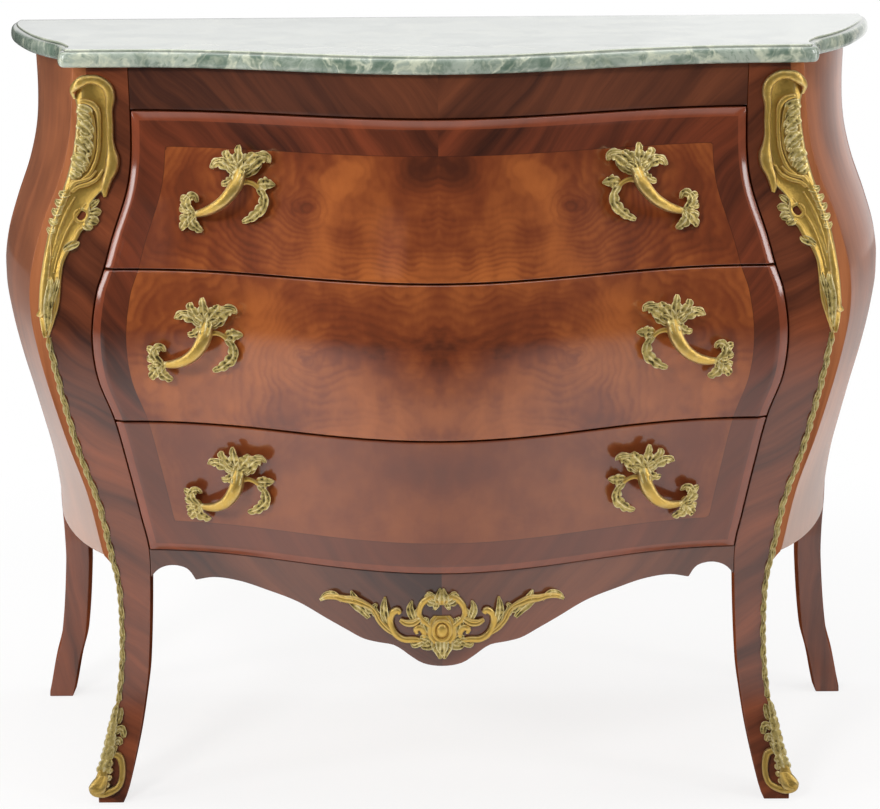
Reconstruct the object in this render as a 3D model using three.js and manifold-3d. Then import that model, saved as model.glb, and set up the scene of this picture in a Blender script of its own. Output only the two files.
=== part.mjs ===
// Commode chest with a swelling, serpentine body, three drawers, cabriole legs,
// a stone top and cast brass mounts.
// Lengths are millimetres. X runs along the front, Y from front to back and Z up.
// Each piece is drawn with the back of the chest at Y = 0 and the floor at Z = 0.

import * as THREE from 'three';
import { mergeVertices } from 'three/addons/utils/BufferGeometryUtils.js';
import Module from 'manifold-3d';

const wasm = await Module();
wasm.setup();

// Driving dimensions of the body.
const overallHeight = 844;
const marbleThickness = 19;
const keelTopHalfWidth = 373;
const keelSwell = 47.5;
const keelTopForward = 372;
const forwardSwell = 40;
const sideFlare = 111;
const sideSwell = 46;
const postTopWidth = 44;
const openingSwell = 44;
const bowDepth = 100;
const bowHalfWidth = 362;
const friezeHeight = 46;
const topDrawerHeight = 165;
const middleDrawerHeight = 168;
const bottomDrawerHeight = 155;
const apronHeight = 107;
const legTopDrop = 39;
const caseDrop = 19;
const postDepth = 52;
const backPostDepth = 50;
const backPostWidth = 40;

// Driving dimensions of the boards.
const fitGap = 0.3;
const railThickness = 22;
const sidePanelThickness = 16;
const sidePanelFrontDrop = 20;
const sidePanelBackDrop = 46;
const backPanelThickness = 8;
const backPanelInset = 4;
const backRailThickness = 22;
const backRailHeight = 40;
const dustBoardThickness = 12;
const bottomBoardThickness = 10;
const legDepth = 38;
const legChamfer = 8;
const postChamfer = 1;
const backLegWidth = 33;
const backLegDepth = 35;

// Driving dimensions of the drawers.
const drawerProud = 10;
const drawerBackFace = 18;
const drawerSideGap = 2;
const drawerJointGap = 1;
const drawerChamfer = 9.5;
const drawerBackRoom = 5.7;
const drawerSideThickness = 12;
const drawerBackThickness = 12;
const drawerBottomThickness = 6;
const drawerBottomRise = 6;
const drawerRunGap = 0.5;
const drawerTopRoom = 14;
const guideWidth = 11;
const guideHeight = 14;
const guideGap = 1;
const drawerBoxRoom = 11;

// Driving dimensions of the marble top.
const marbleOverhang = 14;
const marbleBowEase = 2;
const marbleCornerOverhang = 15;
const marbleEdgeInset = 4;
const marbleBullnose = 3.8;
const marbleGroove = 7;
const marbleStep = 1.4;

// Driving dimensions of the mounts.
const mountClearance = 1;
const chuteTopDrop = 9;
const chuteHeight = 273.5;
const chuteReach = 46;
const chuteSideShare = 0.4;
const chuteKeelRise = 16;
const chuteEdgeRise = 3;
const chuteRimRise = 8;
const chuteChannelRise = 4.5;
const chuteHoleRadius = 5;
const chuteHoleRise = 126.5;
const chuteHoleReach = 26;
const bandWidth = 5;
const bandRise = 4;
const bandEdgeRise = 2;
const sabotBottom = 8;
const sabotHeight = 104;
const sabotReach = 22;
const sabotSideShare = 0.6;
const sabotKeelRise = 13;
const sabotEdgeRise = 3;
const sabotRimRise = 6;
const sabotHoleRise = 30;
const sabotHoleTall = 13;
const sabotHoleWide = 5;
const sabotHoleReach = 12;
const apronMountDrop = 57;
const apronMountHalfWidth = 132;
const apronMountThickness = 6;
const apronBossHeight = 9;
const apronBossWide = 6.5;
const apronBossTall = 9.5;
const apronBossDrop = 8;

// Driving dimensions of the handles and their screws.
const topHandleInset = 96;
const topHandleRise = 2.5;
const middleHandleInset = 83;
const middleHandleRise = 14;
const bottomHandleInset = 84;
const bottomHandleRise = 12.5;
const handleSize = 50;
const handlePlate = 7;
const handleBranchThickness = 5.6;
const handleStandOff = 26;
const handleStemRadius = 4;
const handlePadRadius = 5;
const handleClearance = 0.8;
const handleBoreGap = 0.4;
const handleBoreDepth = 4;
const screwRadius = 2;
const screwHeadOverhang = 2;
const screwHeadThickness = 2.6;
const screwEndGap = 1;
const screwHoleGap = 0.6;
const seatGap = 0.4;

// Counts of facets.
const bowSteps = 12;
const roundSteps = 12;
const smallRoundSteps = 8;
const marbleFrontSteps = 15;
const surfaceTurns = 12;

// Sizes that follow from the ones above.
const carcassHeight = overallHeight - marbleThickness;
const carcassTop = carcassHeight - fitGap;
const sideTopHalfWidth = keelTopHalfWidth + sideFlare;
const openingTopHalfWidth = keelTopHalfWidth - postTopWidth;
const drawerTopLine = carcassHeight - friezeHeight;
const upperDrawerLine = drawerTopLine - topDrawerHeight;
const lowerDrawerLine = upperDrawerLine - middleDrawerHeight;
const drawerBottomLine = lowerDrawerLine - bottomDrawerHeight;
const legTop = drawerBottomLine - legTopDrop;
const caseBottom = drawerBottomLine - caseDrop;
const postBack = keelTopForward - postDepth;
const sidePanelFrontEdge = drawerBottomLine - sidePanelFrontDrop;
const sidePanelBackEdge = drawerBottomLine - sidePanelBackDrop;
const backPanelFace = backPanelInset + backPanelThickness;
const boardSetback = railThickness + fitGap;
const drawerBoxBack = backPanelFace + fitGap + backRailThickness + drawerBackRoom;
const marbleFrontReach = keelTopForward + marbleOverhang;
const marbleBowDepth = bowDepth - marbleBowEase;
const marbleCornerHalfWidth = keelTopHalfWidth + marbleCornerOverhang;
const chuteBottom = carcassHeight - chuteTopDrop - chuteHeight;
const chuteHoleHeight = chuteBottom + chuteHoleRise;
const sabotHoleHeight = sabotBottom + sabotHoleRise;
const apronMountCentre = drawerBottomLine - apronMountDrop;
const handleBoreRadius = screwRadius + handleBoreGap;
const screwHeadRadius = screwRadius + screwHeadOverhang;
const screwClearanceRadius = screwRadius + screwHoleGap;

// Profiles of the body: height as a share of the carcass, then the share of the swell.
const keelShares = [
  [0, 0.33], [0.017, 0.33], [0.039, 0.26], [0.07, 0.1], [0.108, -0.05], [0.14, -0.17],
  [0.206, -0.28], [0.295, -0.27], [0.349, -0.12], [0.42, 0.09], [0.486, 0.42], [0.553, 0.66],
  [0.614, 0.85], [0.656, 0.96], [0.693, 1], [0.728, 0.97], [0.788, 0.78], [0.837, 0.49],
  [0.879, 0.28], [0.929, 0.13], [1, 0],
];
const forwardShares = [
  [0, 0.42], [0.073, 0.03], [0.154, -0.24], [0.245, -0.32], [0.335, -0.21], [0.406, 0],
  [0.476, 0.27], [0.547, 0.63], [0.607, 0.89], [0.668, 1], [0.728, 0.85], [0.788, 0.48],
  [0.849, 0.13], [0.899, 0], [1, 0],
];
const openingShares = [
  [0, 0.72], [0.009, 0.64], [0.082, 0.32], [0.146, 0.12], [0.184, 0.03], [0.295, -0.08],
  [0.352, -0.09], [0.4, 0.07], [0.475, 0.33], [0.543, 0.58], [0.599, 0.91], [0.655, 1],
  [0.712, 0.87], [0.743, 0.68], [0.78, 0.49], [0.844, 0.11], [0.894, 0], [1, 0],
];
const sideShares = [
  [0, 0.37], [0.017, 0.3], [0.058, 0.15], [0.101, -0.05], [0.206, -0.22], [0.255, -0.22],
  [0.303, -0.18], [0.34, -0.16], [0.396, -0.02], [0.45, 0.2], [0.504, 0.43], [0.559, 0.69],
  [0.613, 0.89], [0.668, 1], [0.719, 0.9], [0.772, 0.61], [0.825, 0.26], [0.876, 0.04],
  [0.929, -0.03], [1, 0],
];

// Plan of the sides: how quickly the side runs out behind the keel.
const sideCurvePower = 1.4;

// Heights of the rings of points that every body surface shares.
const stationShares = [
  0, 0.026, 0.046, 0.077, 0.114, 0.146, 0.18, 0.212, 0.255, 0.29, 0.305, 0.315, 0.33, 0.352, 0.39, 0.424,
  0.457, 0.49, 0.52, 0.55, 0.583, 0.617, 0.65, 0.685, 0.715, 0.746, 0.768, 0.79, 0.814, 0.838,
  0.86, 0.88, 0.93, 0.945, 1,
];
const stations = stationShares.map((share) => share * carcassHeight);

// A smooth curve through rows of [place, value].
function smoothCurve(rows) {
  const slopes = rows.map((row, i) => {
    const low = rows[Math.max(i - 1, 0)];
    const high = rows[Math.min(i + 1, rows.length - 1)];
    return (high[1] - low[1]) / (high[0] - low[0]);
  });
  return (place) => {
    let i = 0;
    while (i < rows.length - 2 && place > rows[i + 1][0]) {
      i += 1;
    }
    const [start, from] = rows[i];
    const [end, to] = rows[i + 1];
    const span = end - start;
    const t = THREE.MathUtils.clamp((place - start) / span, 0, 1);
    const rise = t * t * (3 - 2 * t);
    const leave = t * (1 - t) * (1 - t) * slopes[i] * span;
    const arrive = t * t * (t - 1) * slopes[i + 1] * span;
    return from + (to - from) * rise + leave + arrive;
  };
}

// Straight runs between given places of a curve, so that neighbours share their facets.
function faceted(places, curve) {
  const values = places.map(curve);
  return (place) => {
    let i = 0;
    while (i < places.length - 2 && place > places[i + 1]) {
      i += 1;
    }
    const t = THREE.MathUtils.clamp((place - places[i]) / (places[i + 1] - places[i]), 0, 1);
    return THREE.MathUtils.lerp(values[i], values[i + 1], t);
  };
}

function bodyProfile(shares, base, swell) {
  const curve = smoothCurve(shares);
  return faceted(stations, (z) => base + swell * curve(z / carcassHeight));
}

const keelHalf = bodyProfile(keelShares, keelTopHalfWidth, keelSwell);
const keelForward = bodyProfile(forwardShares, keelTopForward, forwardSwell);
const openingHalf = bodyProfile(openingShares, openingTopHalfWidth, openingSwell);
const sideHalf = bodyProfile(sideShares, sideTopHalfWidth, sideSwell);

// The serpentine bow of the front.
function bowShare(x) {
  const across = Math.min(Math.abs(x) / bowHalfWidth, 1);
  return (1 - across ** 2) ** 3;
}
const bowColumns = Array.from({ length: bowSteps + 1 }, (unused, k) => bowHalfWidth * k / bowSteps);
const bow = faceted([...bowColumns, overallHeight], (x) => bowDepth * bowShare(x));

function frontY(x, z) {
  return -(keelForward(z) + bow(Math.abs(x)));
}

// The side surface: how far out it stands at a depth y and height z.
function sideX(y, z) {
  const forward = keelForward(z);
  const along = THREE.MathUtils.clamp((y + forward) / forward, 0, 1);
  const run = 1 - (1 - along) ** sideCurvePower;
  return keelHalf(z) + (sideHalf(z) - keelHalf(z)) * run;
}

// How far a height belongs to the case (1) and how far to the free leg (0).
function caseShare(z) {
  return THREE.MathUtils.smoothstep(z, legTop, caseBottom);
}

// Heights between two limits, with the body's own stations inside.
function levels(low, high, extra = []) {
  const inside = [...stations, ...extra].filter((z) => z > low + fitGap && z < high - fitGap);
  return [...new Set([low, ...inside, high])].sort((a, b) => a - b);
}

// Columns across the front between two ends, with the bow's own columns inside.
function columns(half) {
  const right = bowColumns.filter((x) => x > 0 && x < half - fitGap);
  return [-half, ...right.map((x) => -x).reverse(), 0, ...right, half];
}

// Columns across the opening between the posts, which is wider at the belly.
const innerColumns = bowColumns.filter((x) => x > 0 && x < openingTopHalfWidth - drawerChamfer * 2);

function openingColumns(z, inner = innerColumns) {
  const right = [...inner, openingHalf(z) - fitGap];
  return [...right.map((x) => -x).reverse(), 0, ...right];
}

function geometryFrom(points, faces) {
  const geometry = new THREE.BufferGeometry();
  const flat = points.flatMap((point) => [point.x, point.y, point.z]);
  let volume = 0;
  for (const [a, b, c] of faces) {
    volume += points[a].dot(new THREE.Vector3().crossVectors(points[b], points[c]));
  }
  const outward = volume > 0 ? faces : faces.map(([a, b, c]) => [a, c, b]);
  geometry.setAttribute('position', new THREE.Float32BufferAttribute(flat, 3));
  geometry.setIndex(outward.flat());
  return geometry;
}

// A closed skin through rings of points, with flat ends seen along one axis.
function loft(rings, flatten = (point) => new THREE.Vector2(point.x, point.y)) {
  const count = rings[0].length;
  const points = rings.flat();
  const faces = [];
  for (let level = 0; level < rings.length - 1; level += 1) {
    for (let i = 0; i < count; i += 1) {
      const a = level * count + i;
      const b = level * count + ((i + 1) % count);
      faces.push([a, b, b + count], [a, b + count, a + count]);
    }
  }
  const last = (rings.length - 1) * count;
  const outline = rings[0].map(flatten);
  const reversed = THREE.ShapeUtils.isClockWise(outline);
  for (const [a, b, c] of THREE.ShapeUtils.triangulateShape(outline, [])) {
    faces.push(reversed ? [a, b, c] : [a, c, b]);
  }
  const endOutline = rings[rings.length - 1].map(flatten);
  for (const [a, b, c] of THREE.ShapeUtils.triangulateShape(endOutline, [])) {
    faces.push(reversed ? [last + a, last + c, last + b] : [last + a, last + b, last + c]);
  }
  return geometryFrom(points, faces);
}

// A board between two grids of points, such as its front and its back face.
function slab(front, back) {
  const rows = front.length;
  const across = front[0].length;
  const points = [...front.flat(), ...back.flat()];
  const other = rows * across;
  const faces = [];
  for (let i = 0; i < rows - 1; i += 1) {
    for (let j = 0; j < across - 1; j += 1) {
      const a = i * across + j;
      const up = a + across;
      faces.push([a, a + 1, up + 1], [a, up + 1, up]);
      faces.push([other + a, other + up + 1, other + a + 1], [other + a, other + up, other + up + 1]);
    }
  }
  const seam = (a, b) => faces.push([a, other + a, other + b], [a, other + b, b]);
  for (let j = 0; j < across - 1; j += 1) {
    seam(j, j + 1);
    seam((rows - 1) * across + j + 1, (rows - 1) * across + j);
  }
  for (let i = 0; i < rows - 1; i += 1) {
    seam((i + 1) * across, i * across);
    seam(i * across + across - 1, (i + 1) * across + across - 1);
  }
  return geometryFrom(points, faces);
}

function mirrored(geometry) {
  const copy = geometry.clone();
  const place = copy.getAttribute('position');
  for (let i = 0; i < place.count; i += 1) {
    place.setX(i, -place.getX(i));
  }
  const index = copy.getIndex().array;
  for (let i = 0; i < index.length; i += 3) {
    [index[i + 1], index[i + 2]] = [index[i + 2], index[i + 1]];
  }
  return copy;
}

// Solids for joining and cutting.
function solid(geometry) {
  const bare = new THREE.BufferGeometry();
  bare.setAttribute('position', geometry.getAttribute('position').clone());
  if (geometry.getIndex()) {
    bare.setIndex(geometry.getIndex().clone());
  }
  const merged = mergeVertices(bare, fitGap / 1000);
  const vertProperties = new Float32Array(merged.getAttribute('position').array);
  const triVerts = new Uint32Array(merged.getIndex().array);
  return new wasm.Manifold(new wasm.Mesh({ numProp: 3, vertProperties, triVerts }));
}

function geometryOf(body) {
  const mesh = body.getMesh();
  const geometry = new THREE.BufferGeometry();
  geometry.setAttribute('position', new THREE.Float32BufferAttribute(mesh.vertProperties, 3));
  geometry.setIndex(new THREE.Uint32BufferAttribute(mesh.triVerts, 1));
  return geometry;
}

function joined(geometries) {
  return geometries.map(solid).reduce((whole, piece) => whole.add(piece));
}

const point = (x, y, z) => new THREE.Vector3(x, y, z);

// Front leg: the corner post above and the free cabriole leg below, in one piece.
function postBackY(z) {
  return THREE.MathUtils.lerp(legDepth - keelForward(z), -postBack, caseShare(z));
}

function postSideX(y, z) {
  return THREE.MathUtils.lerp(keelHalf(z), sideX(y, z), caseShare(z));
}

function frontLegRing(z) {
  const inner = openingHalf(z);
  const keelY = -keelForward(z);
  const backY = postBackY(z);
  const chamfer = THREE.MathUtils.lerp(legChamfer, postChamfer, caseShare(z));
  const sideFaces = [1 / 3, 2 / 3, 1].map((share) => {
    const y = THREE.MathUtils.lerp(keelY, backY, share);
    return point(postSideX(y, z), y, z);
  });
  return [
    point(inner, frontY(inner, z), z),
    point(keelHalf(z), keelY, z),
    ...sideFaces,
    point(inner + chamfer, backY, z),
    point(inner, backY - chamfer, z),
  ];
}

function frontLeg() {
  return loft(levels(0, carcassTop).map(frontLegRing));
}

function backLegRing(z) {
  const inCase = THREE.MathUtils.smoothstep(z, sidePanelBackEdge - backPostWidth, sidePanelBackEdge);
  const width = THREE.MathUtils.lerp(backLegWidth, backPostWidth, inCase);
  const depth = THREE.MathUtils.lerp(backLegDepth, backPostDepth, inCase);
  const outer = sideHalf(z);
  return [
    point(outer, 0, z),
    point(outer - width, 0, z),
    point(outer - width, -depth, z),
    point(sideX(-depth, z), -depth, z),
  ];
}

function backLeg() {
  return loft(levels(0, carcassTop, [sidePanelBackEdge]).map(backLegRing));
}

// Side panel between the front post and the back leg.
const sideStationShares = [0, 0.2, 0.4, 0.6, 0.8, 1];

function sidePanelLowEdge(y) {
  const along = (y + postBack) / (postBack - backPostDepth);
  return THREE.MathUtils.lerp(sidePanelFrontEdge, sidePanelBackEdge, 1 - (1 - along) ** 2);
}

function sidePanel() {
  const frontEnd = -(postBack - fitGap);
  const backEnd = -(backPostDepth + fitGap);
  const places = sideStationShares.map((share) => THREE.MathUtils.lerp(frontEnd, backEnd, share));
  const above = stations.filter((z) => z > sidePanelFrontEdge + fitGap && z < carcassTop);
  const heights = [null, ...above, carcassTop];
  const face = (inset) => heights.map((height) => places.map((y) => {
    const z = height === null ? sidePanelLowEdge(y) : height;
    return point(sideX(y, z) - inset, y, z);
  }));
  return slab(face(0), face(sidePanelThickness));
}

// Rail above the drawers.
function topRail() {
  const heights = levels(drawerTopLine + fitGap, carcassTop);
  const face = (inset) => heights.map((z) => (
    openingColumns(z).map((x) => point(x, frontY(x, z) + inset, z))
  ));
  return slab(face(0), face(railThickness));
}

// Apron below the drawers, with its scalloped lower edge: [share of the half width,
// share of the apron's height below the drawers].
const apronShares = [
  [0, 1], [0.03, 0.995], [0.07, 0.965], [0.11, 0.89], [0.14, 0.825], [0.165, 0.79], [0.215, 0.775],
  [0.265, 0.75], [0.32, 0.675], [0.385, 0.585], [0.485, 0.445], [0.6, 0.355], [0.685, 0.3],
  [0.775, 0.285], [0.842, 0.33], [0.858, 0.25], [0.875, 0.205], [0.91, 0.18], [0.945, 0.19],
  [0.975, 0.235], [1, 0.32],
];

function apron() {
  const half = openingHalf(drawerBottomLine);
  const edge = (x) => {
    const place = Math.abs(x) / half;
    const row = apronShares.findIndex((entry) => entry[0] >= place);
    const high = apronShares[Math.max(row, 1)];
    const low = apronShares[Math.max(row, 1) - 1];
    const t = (place - low[0]) / (high[0] - low[0]);
    return drawerBottomLine - apronHeight * THREE.MathUtils.lerp(low[1], high[1], t);
  };
  const scallop = apronShares.map(([share]) => share * half).filter((x) => x > 0 && x < half);
  const inner = [...innerColumns, ...scallop].sort((a, b) => a - b);
  const spaced = inner.filter((x, i) => i === 0 || x - inner[i - 1] > fitGap);
  const top = drawerBottomLine - fitGap;
  const rows = [0, 0.3, 0.65, 1];
  const ends = openingColumns(top, spaced);
  const face = (inset) => rows.map((row) => ends.map((end, i) => {
    const z = THREE.MathUtils.lerp(edge(end), top, row);
    const x = openingColumns(z, spaced)[i];
    return point(x, frontY(x, z) + inset, z);
  }));
  return slab(face(0), face(railThickness));
}

// Flat boards of the case that fit between the posts and the side panels.
function caseBoard(middle, thickness) {
  const low = middle - thickness / 2;
  const ring = (z) => {
    const half = openingHalf(z) - fitGap;
    const right = openingColumns(z).filter((x) => x >= 0);
    const front = right.map((x) => point(x, frontY(x, z) + boardSetback, z));
    const behindPost = -(postBack - fitGap);
    const beforeLeg = -(backPostDepth + fitGap);
    const sideRun = [0, 0.25, 0.5, 0.75, 1].map((share) => {
      const y = THREE.MathUtils.lerp(behindPost, beforeLeg, share);
      return point(sideX(y, z) - sidePanelThickness - fitGap, y, z);
    });
    const legInner = sideHalf(z) - backPostWidth - fitGap;
    const back = -(backPanelFace + fitGap);
    const legCorner = [point(legInner, beforeLeg, z), point(legInner, back, z)];
    const rightSide = [...front, point(half, behindPost, z), ...sideRun, ...legCorner];
    const leftSide = rightSide.slice(1).reverse().map((p) => point(-p.x, p.y, p.z));
    return [...rightSide, ...leftSide];
  };
  return loft(levels(low, low + thickness).map(ring));
}

function backPanel() {
  const rings = levels(sidePanelBackEdge, carcassTop).map((z) => {
    const half = sideHalf(z) - backPostWidth - fitGap;
    return [
      point(-half, -backPanelFace, z),
      point(half, -backPanelFace, z),
      point(half, -backPanelInset, z),
      point(-half, -backPanelInset, z),
    ];
  });
  return loft(rings);
}

function backTopRail() {
  const back = -(backPanelFace + fitGap);
  const rings = levels(carcassTop - backRailHeight, carcassTop).map((z) => {
    const half = sideHalf(z) - backPostWidth - fitGap;
    return [
      point(-half, back - backRailThickness, z),
      point(half, back - backRailThickness, z),
      point(half, back, z),
      point(-half, back, z),
    ];
  });
  return loft(rings);
}

// Marble top. The corner of the outline stands out as a small ear before the side.
const marbleCornerShares = [
  [1, 0], [1.028, 0.012], [1.04, 0.045], [1.037, 0.083], [1.042, 0.13], [1.058, 0.18], [1.08, 0.24],
  [1.13, 0.335], [1.192, 0.48], [1.253, 0.67], [1.292, 0.82], [1.311, 0.93], [1.314, 1],
];

function marbleOutline() {
  const front = Array.from({ length: marbleFrontSteps }, (unused, k) => {
    const x = (marbleCornerHalfWidth * k) / marbleFrontSteps;
    return new THREE.Vector2(x, -(marbleFrontReach + marbleBowDepth * bowShare(x)));
  });
  const side = marbleCornerShares.map(([out, along]) => new THREE.Vector2(
    marbleCornerHalfWidth * out,
    -marbleFrontReach * (1 - along),
  ));
  const right = [...front, ...side];
  const left = right.slice(1).reverse().map((p) => new THREE.Vector2(-p.x, p.y));
  return [...right, ...left];
}

function insetOutline(outline, inset) {
  const count = outline.length;
  return outline.map((here, i) => {
    const before = outline[(i + count - 1) % count];
    const after = outline[(i + 1) % count];
    const atBack = Math.abs(here.y) < fitGap;
    if (atBack) {
      return new THREE.Vector2(here.x - Math.sign(here.x) * inset, here.y);
    }
    const run = after.clone().sub(before).normalize();
    return new THREE.Vector2(here.x - run.y * inset, here.y + run.x * inset);
  });
}

function marbleTop() {
  const outline = marbleOutline();
  const bottom = carcassHeight;
  const half = marbleBullnose / 2;
  const profile = [
    [marbleEdgeInset, bottom],
    [half / 2, bottom + marbleBullnose / 2],
    [0, bottom + marbleBullnose],
    [0, bottom + marbleThickness / 2],
    [half, overallHeight - marbleStep - marbleBullnose / 2],
    [marbleEdgeInset, overallHeight - marbleStep],
    [marbleGroove, overallHeight - marbleStep],
    [marbleGroove + marbleStep / 2, overallHeight],
  ];
  return loft(profile.map(([inset, z]) => insetOutline(outline, inset).map((p) => point(p.x, p.y, z))));
}

// The box of a drawer passes the narrowest place of its opening.
function boxHalfWidth(low, high) {
  return Math.min(...levels(low, high).map(openingHalf)) - drawerBoxRoom;
}

// Drawers, from the top one down.
const drawers = [
  { name: 'top', low: upperDrawerLine, high: drawerTopLine },
  { name: 'middle', low: lowerDrawerLine, high: upperDrawerLine },
  { name: 'bottom', low: drawerBottomLine, high: lowerDrawerLine },
].map((drawer) => ({ ...drawer, boxHalf: boxHalfWidth(drawer.low, drawer.high) }));

function drawerSurfaceY(x, z) {
  return frontY(x, z) - drawerProud;
}

function drawerFront(drawer) {
  const low = drawer.low + drawerJointGap;
  const high = drawer.high - drawerJointGap;
  const chamferTop = drawer.high === drawerTopLine;
  const chamferLow = drawer.low === drawerBottomLine;
  const heights = levels(low, high).filter((z) => (
    (z === low || !chamferLow || z > low + drawerChamfer)
    && (z === high || !chamferTop || z < high - drawerChamfer)
  ));
  if (chamferLow) {
    heights.splice(1, 0, low + drawerChamfer);
  }
  if (chamferTop) {
    heights.splice(heights.length - 1, 0, high - drawerChamfer);
  }
  const across = (z) => {
    const edge = openingHalf(z) - drawerSideGap;
    const right = [...innerColumns, edge - drawerChamfer, edge];
    return [...right.map((x) => -x).reverse(), 0, ...right];
  };
  const front = heights.map((z, row) => across(z).map((x, column, list) => {
    const atEdge = column === 0 || column === list.length - 1;
    const atTop = chamferTop && row === heights.length - 1;
    const atLow = chamferLow && row === 0;
    const proud = atEdge || atTop || atLow ? 0 : drawerProud;
    return point(x, frontY(x, z) - proud, z);
  }));
  const back = heights.map((z) => across(z).map((x) => point(x, frontY(x, z) + drawerBackFace, z)));
  return slab(front, back);
}

function drawerBoxFront(x, z) {
  return frontY(x, z) + drawerBackFace + fitGap;
}

function drawerBase(drawer) {
  const board = drawer.low === drawerBottomLine ? bottomBoardThickness / 2 : dustBoardThickness / 2;
  return drawer.low + board + drawerRunGap;
}

function drawerTop(drawer) {
  return drawer.high - drawerTopRoom;
}

// Right-hand side board of a drawer.
function drawerSide(drawer) {
  const outer = drawer.boxHalf;
  const inner = outer - drawerSideThickness;
  const rings = levels(drawerBase(drawer), drawerTop(drawer)).map((z) => [
    point(inner, drawerBoxFront(inner, z), z),
    point(outer, drawerBoxFront(outer, z), z),
    point(outer, -drawerBoxBack, z),
    point(inner, -drawerBoxBack, z),
  ]);
  return loft(rings);
}

function box(low, high) {
  const size = new THREE.Vector3().subVectors(high, low);
  const middle = new THREE.Vector3().addVectors(high, low).multiplyScalar(0.5);
  return new THREE.BoxGeometry(size.x, size.y, size.z).translate(middle.x, middle.y, middle.z);
}

function drawerBack(drawer) {
  const half = drawer.boxHalf - drawerSideThickness - fitGap;
  return box(
    point(-half, -(drawerBoxBack + drawerBackThickness), drawerBase(drawer)),
    point(half, -drawerBoxBack, drawerTop(drawer)),
  );
}

function drawerBottom(drawer) {
  const half = drawer.boxHalf - drawerSideThickness - fitGap;
  const back = -(drawerBoxBack + drawerBackThickness + fitGap);
  const low = drawerBase(drawer) + drawerBottomRise;
  const ring = (z) => [
    ...columns(half).map((x) => point(x, drawerBoxFront(x, z), z)),
    point(half, back, z),
    point(-half, back, z),
  ];
  return loft(levels(low, low + drawerBottomThickness).map(ring));
}

// Right-hand guide strip that keeps a drawer straight.
function drawerGuide(drawer) {
  const inner = drawer.boxHalf + guideGap;
  const floor = drawerBase(drawer) - drawerRunGap + fitGap;
  return box(
    point(inner, -(postBack - fitGap), floor),
    point(inner + guideWidth, -(backPostDepth + fitGap), floor + guideHeight),
  );
}

// Cast handle, drawn flat: u across, v up and w out of the drawer, in shares of its size.
const handleFanShares = [
  [-0.1, 0.1], [0.03, 0.26], [-0.05, 0.34], [-0.23, 0.38], [-0.32, 0.46], [-0.28, 0.57],
  [-0.13, 0.6], [0.03, 0.55], [-0.04, 0.71], [0, 0.82], [0.1, 0.82], [0.16, 0.66], [0.2, 0.84],
  [0.26, 0.93], [0.34, 0.84], [0.38, 0.68], [0.53, 0.76], [0.7, 0.67], [0.86, 0.68], [0.97, 0.62],
  [0.99, 0.52], [0.9, 0.45], [0.78, 0.51], [0.66, 0.42], [0.55, 0.3], [0.46, 0.18], [0.26, 0.06],
];
const handleTrefoilShares = [
  [-0.46, -0.52], [-0.62, -0.44], [-0.71, -0.36], [-0.6, -0.3], [-0.62, -0.2], [-0.75, -0.17],
  [-0.86, -0.23], [-0.98, -0.23], [-1.05, -0.33], [-1, -0.42], [-1.07, -0.52], [-0.96, -0.62],
  [-1.01, -0.74], [-1.01, -0.86], [-0.91, -0.9], [-0.83, -0.82], [-0.75, -0.92], [-0.62, -0.98],
  [-0.53, -0.94], [-0.59, -0.81], [-0.68, -0.72], [-0.52, -0.68],
];
const handleBranchShares = [
  [0.24, 0.14], [0.44, 0.15], [0.6, 0.17], [0.72, 0.18], [0.86, 0.24], [1, 0.18], [1.11, 0.06],
  [1, -0.02], [0.9, -0.06], [0.9, -0.22], [0.82, -0.4], [0.68, -0.56], [0.52, -0.67],
  [0.34, -0.74], [0.44, -0.6], [0.58, -0.48], [0.68, -0.33], [0.72, -0.18], [0.68, -0.06],
  [0.58, 0], [0.46, 0], [0.3, -0.06],
];
const handleStemShares = [
  [0.32, 0.42, 0.12], [0.2, 0.22, 0.75], [-0.12, -0.24, 1], [-0.46, -0.52, 0.7], [-0.72, -0.62, 0.16],
];
const handlePostShares = { upper: [0.32, 0.44], lower: [-0.8, -0.6] };

// Each handle stands in from the drawer's box and a little above the middle of its front.
const handlePlaces = [
  { drawer: drawers[0], inset: topHandleInset, rise: topHandleRise },
  { drawer: drawers[1], inset: middleHandleInset, rise: middleHandleRise },
  { drawer: drawers[2], inset: bottomHandleInset, rise: bottomHandleRise },
].map(({ drawer, inset, rise }) => ({
  drawer,
  x: drawer.boxHalf - inset,
  z: (drawer.low + drawer.high) / 2 + rise,
}));

// The frame of a left-hand handle on its drawer front.
function handleFrame(place) {
  const x = -place.x;
  const reach = handleSize / 2;
  const slopeX = (drawerSurfaceY(x + reach, place.z) - drawerSurfaceY(x - reach, place.z)) / (2 * reach);
  const slopeZ = (drawerSurfaceY(x, place.z + reach) - drawerSurfaceY(x, place.z - reach)) / (2 * reach);
  const out = point(slopeX, -1, slopeZ).normalize();
  const across = point(1, slopeX, 0).normalize();
  const up = new THREE.Vector3().crossVectors(out, across).negate();
  if (up.z < 0) {
    up.negate();
  }
  return { origin: point(x, drawerSurfaceY(x, place.z), place.z), across, up, out };
}

// Where a line along the frame's outward axis meets a surface given as y of (x, z).
function surfaceDepth(frame, u, v, surface) {
  const start = frame.origin.clone().addScaledVector(frame.across, u).addScaledVector(frame.up, v);
  let w = 0;
  for (let turn = 0; turn < surfaceTurns; turn += 1) {
    const here = start.clone().addScaledVector(frame.out, w);
    w += (here.y - surface(here.x, here.z)) / -frame.out.y;
  }
  return w;
}

function rim(u, v, radius) {
  return Array.from({ length: roundSteps }, (unused, k) => {
    const angle = (2 * Math.PI * k) / roundSteps;
    return [u + radius * Math.cos(angle), v + radius * Math.sin(angle)];
  });
}

const sized = (shares) => shares.map(([u, v]) => [u * handleSize, v * handleSize]);

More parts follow.
